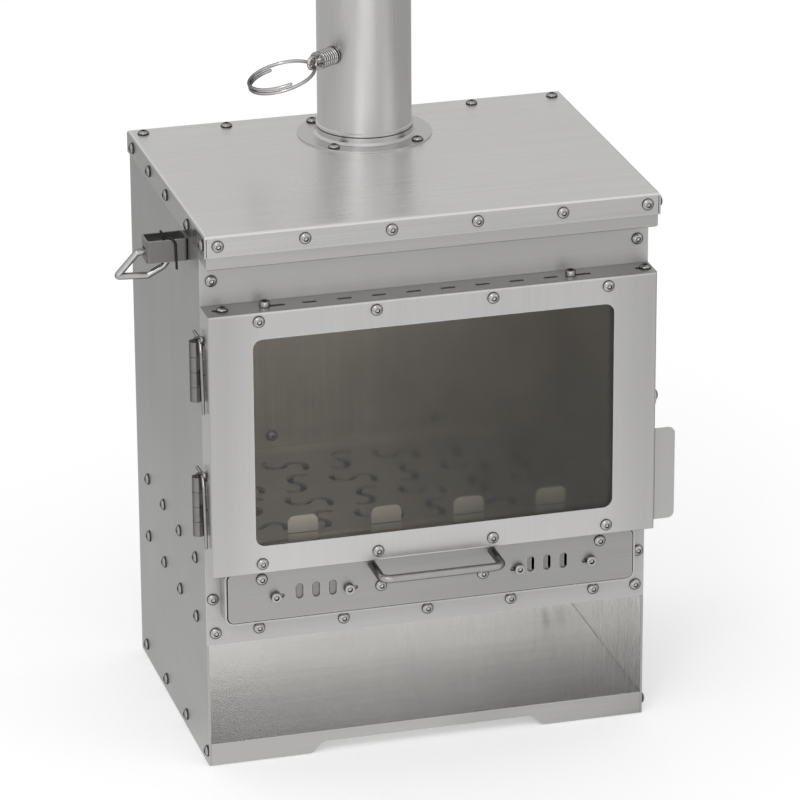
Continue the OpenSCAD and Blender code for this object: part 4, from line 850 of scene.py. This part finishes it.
# Split ring that hangs in the shaft's eye
RING_AT, EYE_AT, RING_YAW, RING_DROOP = (0, 68.5, 584.7), 69.9, 30, 15
RING_R, RING_WIRE, RING_TURNS, RING_PITCH = 29.5, 1.5, 1.5, 3.7
RING_STEPS, RING_BEGIN = 96, math.radians(270)
ring_frame = (Matrix.Translation(RING_AT) @ turn("Z", SHAFT_YAW)
              @ Matrix.Translation((EYE_AT, 0, 0)) @ turn("Z", -RING_YAW)
              @ turn("Y", RING_DROOP) @ Matrix.Translation((RING_R, 0, 0)))
ring_path = []
for i in range(int(RING_TURNS * RING_STEPS) + 1):
    angle = RING_BEGIN + 2 * math.pi * i / RING_STEPS
    ring_path.append(Vector((RING_R * math.cos(angle), RING_R * math.sin(angle),
                             RING_PITCH * (i / RING_STEPS - RING_TURNS / 2))))
wire_piece("split_ring", [tube(moved(ring_path, ring_frame), RING_WIRE, 16)], bright_metal)


# ------------------------------------------------------------------ gaskets

def round_loop(half_x, half_z, radius, step):
    """Points and outward directions round a rectangle with rounded corners."""
    loop = []
    corners = ((1, 1, 0), (-1, 1, 90), (-1, -1, 180), (1, -1, 270))
    for n, (sx, sz, begin) in enumerate(corners):
        centre = Vector((sx * (half_x - radius), 0, sz * (half_z - radius)))
        turns_in_corner = max(4, int(radius * math.pi / 2 / step))
        for i in range(turns_in_corner + 1):
            a = math.radians(begin + 90 * i / turns_in_corner)
            out = Vector((math.cos(a), 0, math.sin(a)))
            loop.append((centre + out * radius, out))
        sx, sz, begin = corners[(n + 1) % 4]
        a = math.radians(begin)
        out = Vector((math.cos(a), 0, math.sin(a)))
        target = Vector((sx * (half_x - radius), 0, sz * (half_z - radius))) + out * radius
        origin = loop[-1][0]
        run = max(1, int((target - origin).length / step))
        for i in range(1, run):
            loop.append((origin.lerp(target, i / run), out))
    return loop


def frame_sweep(loop, section):
    """A closed ring of sections: section gives the outward and the backward offset of each
    of its points, at a length along the loop."""
    points, faces = [], []
    length, before = 0.0, loop[0][0]
    for at, out in loop:
        length += (at - before).length
        before = at
        shape = section(length)
        points += [at + out * u + Vector((0, v, 0)) for u, v in shape]
    count, sides = len(loop), len(shape)
    for k in range(count):
        n = (k + 1) % count
        for i in range(sides):
            j = (i + 1) % sides
            faces.append(((k * sides + i, n * sides + i, n * sides + j, k * sides + j), 0))
    return points, faces


def gasket_piece(name, loop, section, middle, finish, smooth):
    """Replaces a gasket node by a section swept round a loop."""
    points, faces = frame_sweep(loop, section)
    new_piece(name + "_fine", [p + middle for p in points], faces, (finish,), name,
              smooth)


# The door's rope: middle and half sizes of its loop and of its section, with the strands'
# turns per millimetre, their count round the rope, their swell and the section's squareness
ROPE_MIDDLE, ROPE_HALF_W, ROPE_HALF_T = Vector((0, -135.3, 311)), 4.8, 2.3
ROPE_LOOP = {"half_x": 193.3, "half_z": 113.8, "radius": 6.0, "step": 1.5}
ROPE_SIDES, STRAND_TURNS, STRANDS, STRAND_SWELL, ROPE_POWER = 18, 1.15, 3, 0.18, 0.8


def rope_section(length):
    """Flattened round of a braided rope: two sets of strands that cross each other."""
    shape = []
    for i in range(ROPE_SIDES):
        a = 2 * math.pi * i / ROPE_SIDES
        weave = (math.sin(length * STRAND_TURNS + STRANDS * a)
                 * math.sin(length * STRAND_TURNS - STRANDS * a))
        swell = STRAND_SWELL * weave
        u, v = math.cos(a), math.sin(a)
        shape.append(((ROPE_HALF_W + swell) * math.copysign(abs(u) ** ROPE_POWER, u),
                      (ROPE_HALF_T + swell) * math.copysign(abs(v) ** ROPE_POWER, v)))
    return shape


gasket_piece("rope_gasket", round_loop(**ROPE_LOOP), rope_section, ROPE_MIDDLE, rope_mat,
             60.0)

# The glass's tape, folded round the pane's edge: distances outwards from the window's edge
# of its lips' ends, their middle, the fold's inside and its outside
TAPE_MIDDLE = Vector((0, 0, 311.45))
TAPE_LOOP = {"half_x": 161.0, "half_z": 95.25, "radius": 6.0, "step": 2.5}
TAPE_FRONT, TAPE_BACK, TAPE_LIP = -158.3, -153.5, 0.4
LIP_END, LIP_MIDDLE, FOLD_INSIDE, FOLD_OUTSIDE = 1.5, 6.0, 7.2, 10.7
LIP_ROUND, LIP_THIN, FOLD_ROUND = 0.2, 0.1, 0.3
TAPE_WAVE, TAPE_WAVES = 0.06, 0.8


def tape_section(length):
    """Folded tape: two thin lips over the glass and the wall between them, slightly wavy."""
    wave = TAPE_WAVE * math.sin(length * TAPE_WAVES)
    front, back = TAPE_FRONT, TAPE_BACK
    edge, corner = LIP_END + LIP_ROUND, FOLD_OUTSIDE - FOLD_ROUND
    return [(edge + wave, front + LIP_THIN), (LIP_MIDDLE, front), (corner, front),
            (FOLD_OUTSIDE, front + FOLD_ROUND), (FOLD_OUTSIDE, back - FOLD_ROUND),
            (corner, back), (LIP_MIDDLE, back), (edge - wave, back - LIP_THIN),
            (LIP_END - wave, back - TAPE_LIP), (FOLD_INSIDE, back - TAPE_LIP),
            (FOLD_INSIDE, front + TAPE_LIP), (LIP_END + wave, front + TAPE_LIP)]


gasket_piece("glass_gasket", round_loop(**TAPE_LOOP), tape_section, TAPE_MIDDLE, tape_mat,
             50.0)


# ------------------------------------------------------------------ floor, light, camera

# Brightness that polished metal meets by compass direction, 0 to 1 from behind round by
# the left, the camera at 0.5 and the right
ROUND_ABOUT = ((0.0, 0.66), (0.08, 0.78), (0.30, 0.80), (0.38, 1.0), (0.55, 1.0), (0.60, 0.86),
               (0.64, 0.92), (0.67, 0.86), (0.71, 0.62), (0.95, 0.60), (1.0, 0.66))
CAMERA_SIDE = math.radians(-105.5)


def compass(tree, place):
    """Direction round the object as 0 to 1, with the camera at 0.5."""
    axes = split(tree, place)
    angle = calc(tree, "ARCTAN2", axes["Y"], axes["X"])
    turned_to_camera = calc(tree, "SUBTRACT", angle, CAMERA_SIDE - math.pi)
    return calc(tree, "FRACT", calc(tree, "DIVIDE", turned_to_camera, 2 * math.pi))


FLOOR_SIZE, FLOOR_Z = 60.0, -0.0005
FLOOR_NOISE, FLOOR_TONES = ((3.0, 3.0, 3.0), 2.0, 0.5), (0.92, 0.93)
FLOOR_ROUGH, FLOOR_SHINE, FLOOR_GLOW = 0.9, 0.1, 0.27
# Share of the ROUND_ABOUT brightness that polished metal meets from the floor, by distance
# from the object as a share of FLOOR_REACH
FLOOR_REACH = 2.0
FLOOR_FALLOFF = ((0.0, 1.0), (0.2, 1.0), (0.6, 0.80), (1.0, 0.74))
# The share of that brightness that the backdrop gives at the horizon, and the rise of view,
# as a sine, from which it gives all of it
HORIZON_TONE, HIGH_UP = 0.98, 0.9


def lay_floor():
    """Plain pale floor that keeps the object's shadow; polished metal meets its glow."""
    bpy.ops.mesh.primitive_plane_add(size=FLOOR_SIZE, location=(0, 0, FLOOR_Z))
    floor = bpy.context.object
    floor.name = "floor"
    mat, tree, bsdf = start("floor_paint")
    low, high = (shade((tone,) * 3) for tone in FLOOR_TONES)
    ray = node(tree, "LightPath").outputs
    seen = calc(tree, "MAXIMUM", ray["Is Camera Ray"], ray["Is Transmission Ray"])
    feed(tree, bsdf, {
        "Base Color": mix(tree, noise(tree, *FLOOR_NOISE), low, high),
        "Roughness": FLOOR_ROUGH, "Specular IOR Level": FLOOR_SHINE,
        "Emission Color": WHITE, "Emission Strength": calc(tree, "MULTIPLY", seen, FLOOR_GLOW)})
    place = object_place(tree)
    far = node(tree, "VectorMath", {0: place}, operation="LENGTH").outputs["Value"]
    falloff = curve(tree, remap(tree, far, 0.0, FLOOR_REACH), FLOOR_FALLOFF)
    glow = calc(tree, "MULTIPLY", curve(tree, compass(tree, place), ROUND_ABOUT), falloff)
    mirrored = node(tree, "Emission", {"Color": glow, "Strength": 1.0}).outputs[0]
    both = node(tree, "MixShader", {0: ray["Is Glossy Ray"], 1: bsdf.outputs[0], 2: mirrored})
    tree.links.new(both.outputs[0], tree.nodes["Material Output"].inputs["Surface"])
    floor.data.materials.append(mat)


def hang_backdrop():
    """World: white where the camera sees it, the studio's soft tones elsewhere."""
    world = bpy.data.worlds.new("studio")
    scene.world = world
    world.use_nodes = True
    tree = world.node_tree
    tree.nodes.clear()
    direction = node(tree, "TexCoord").outputs["Generated"]
    height = remap(tree, split(tree, direction)["Z"], 0.0, HIGH_UP, HORIZON_TONE, 1.0)
    studio = calc(tree, "MULTIPLY", curve(tree, compass(tree, direction), ROUND_ABOUT), height)
    seen = node(tree, "LightPath").outputs["Is Camera Ray"]
    tone = mix(tree, seen, studio, WHITE)
    sky = node(tree, "Background", {"Color": tone, "Strength": 1.0})
    tree.links.new(sky.outputs[0], node(tree, "OutputWorld").inputs["Surface"])


# Lamps: place, aim and size in metres, power in watts
LAMPS = {"key": ((-1.5, -2.5, 2.8), (0, 0, 0.3), (0.9, 0.9), 12),
         "fill": ((2.4, -2.0, 1.6), (0, 0, 0.3), (1.6, 1.6), 3),
         "low": ((-0.4, -2.4, 0.3), (0, 0, 0.06), (1.4, 0.4), 3)}


def softbox(name, place, aim, size, power):
    """Adds a rectangular lamp."""
    data = bpy.data.lights.new(name, "AREA")
    data.shape = "RECTANGLE"
    data.size, data.size_y = size
    data.energy = power
    lamp = bpy.data.objects.new(name, data)
    scene.collection.objects.link(lamp)
    lamp.location = place
    lamp.rotation_euler = (Vector(aim) - Vector(place)).to_track_quat("-Z", "Y").to_euler()


lay_floor()
hang_backdrop()
for name, lamp in LAMPS.items():
    softbox(name, *lamp)

# The camera stands at the photograph's viewing angle, far off with a long lens: picture in
# pixels, sensor in millimetres and the range that it sees in metres, then focal length in
# pixels, turn angles in radians, and the object's origin in the camera's axes in metres
PICTURE, SENSOR, CLIP = 800, 36.0, (0.1, 100)
FOCAL_PX = 5048.61
AZIMUTH, ELEVATION, ROLL = -0.26984, 0.37644, -0.00542
OFFSET = Vector((-0.0106587, -0.2549131, 4.6147888))


def set_camera():
    """Adds the camera and makes it the scene's."""
    back = Vector((math.sin(AZIMUTH) * math.cos(ELEVATION),
                   -math.cos(AZIMUTH) * math.cos(ELEVATION), math.sin(ELEVATION)))
    right = (-back).cross(Vector((0, 0, 1))).normalized()
    up = right.cross(-back)
    c, s = math.cos(ROLL), math.sin(ROLL)
    right, up = c * right + s * up, -s * right + c * up
    place = -(right * OFFSET.x + up * OFFSET.y - back * OFFSET.z)
    lens = bpy.data.cameras.new("camera")
    lens.sensor_width = SENSOR
    lens.lens = FOCAL_PX / PICTURE * SENSOR
    lens.clip_start, lens.clip_end = CLIP
    camera = bpy.data.objects.new("camera", lens)
    scene.collection.objects.link(camera)
    axes = Matrix((right, up, back)).transposed()
    camera.matrix_world = Matrix.Translation(place) @ axes.to_4x4()
    scene.camera = camera


set_camera()
scene.view_settings.view_transform = "Standard"
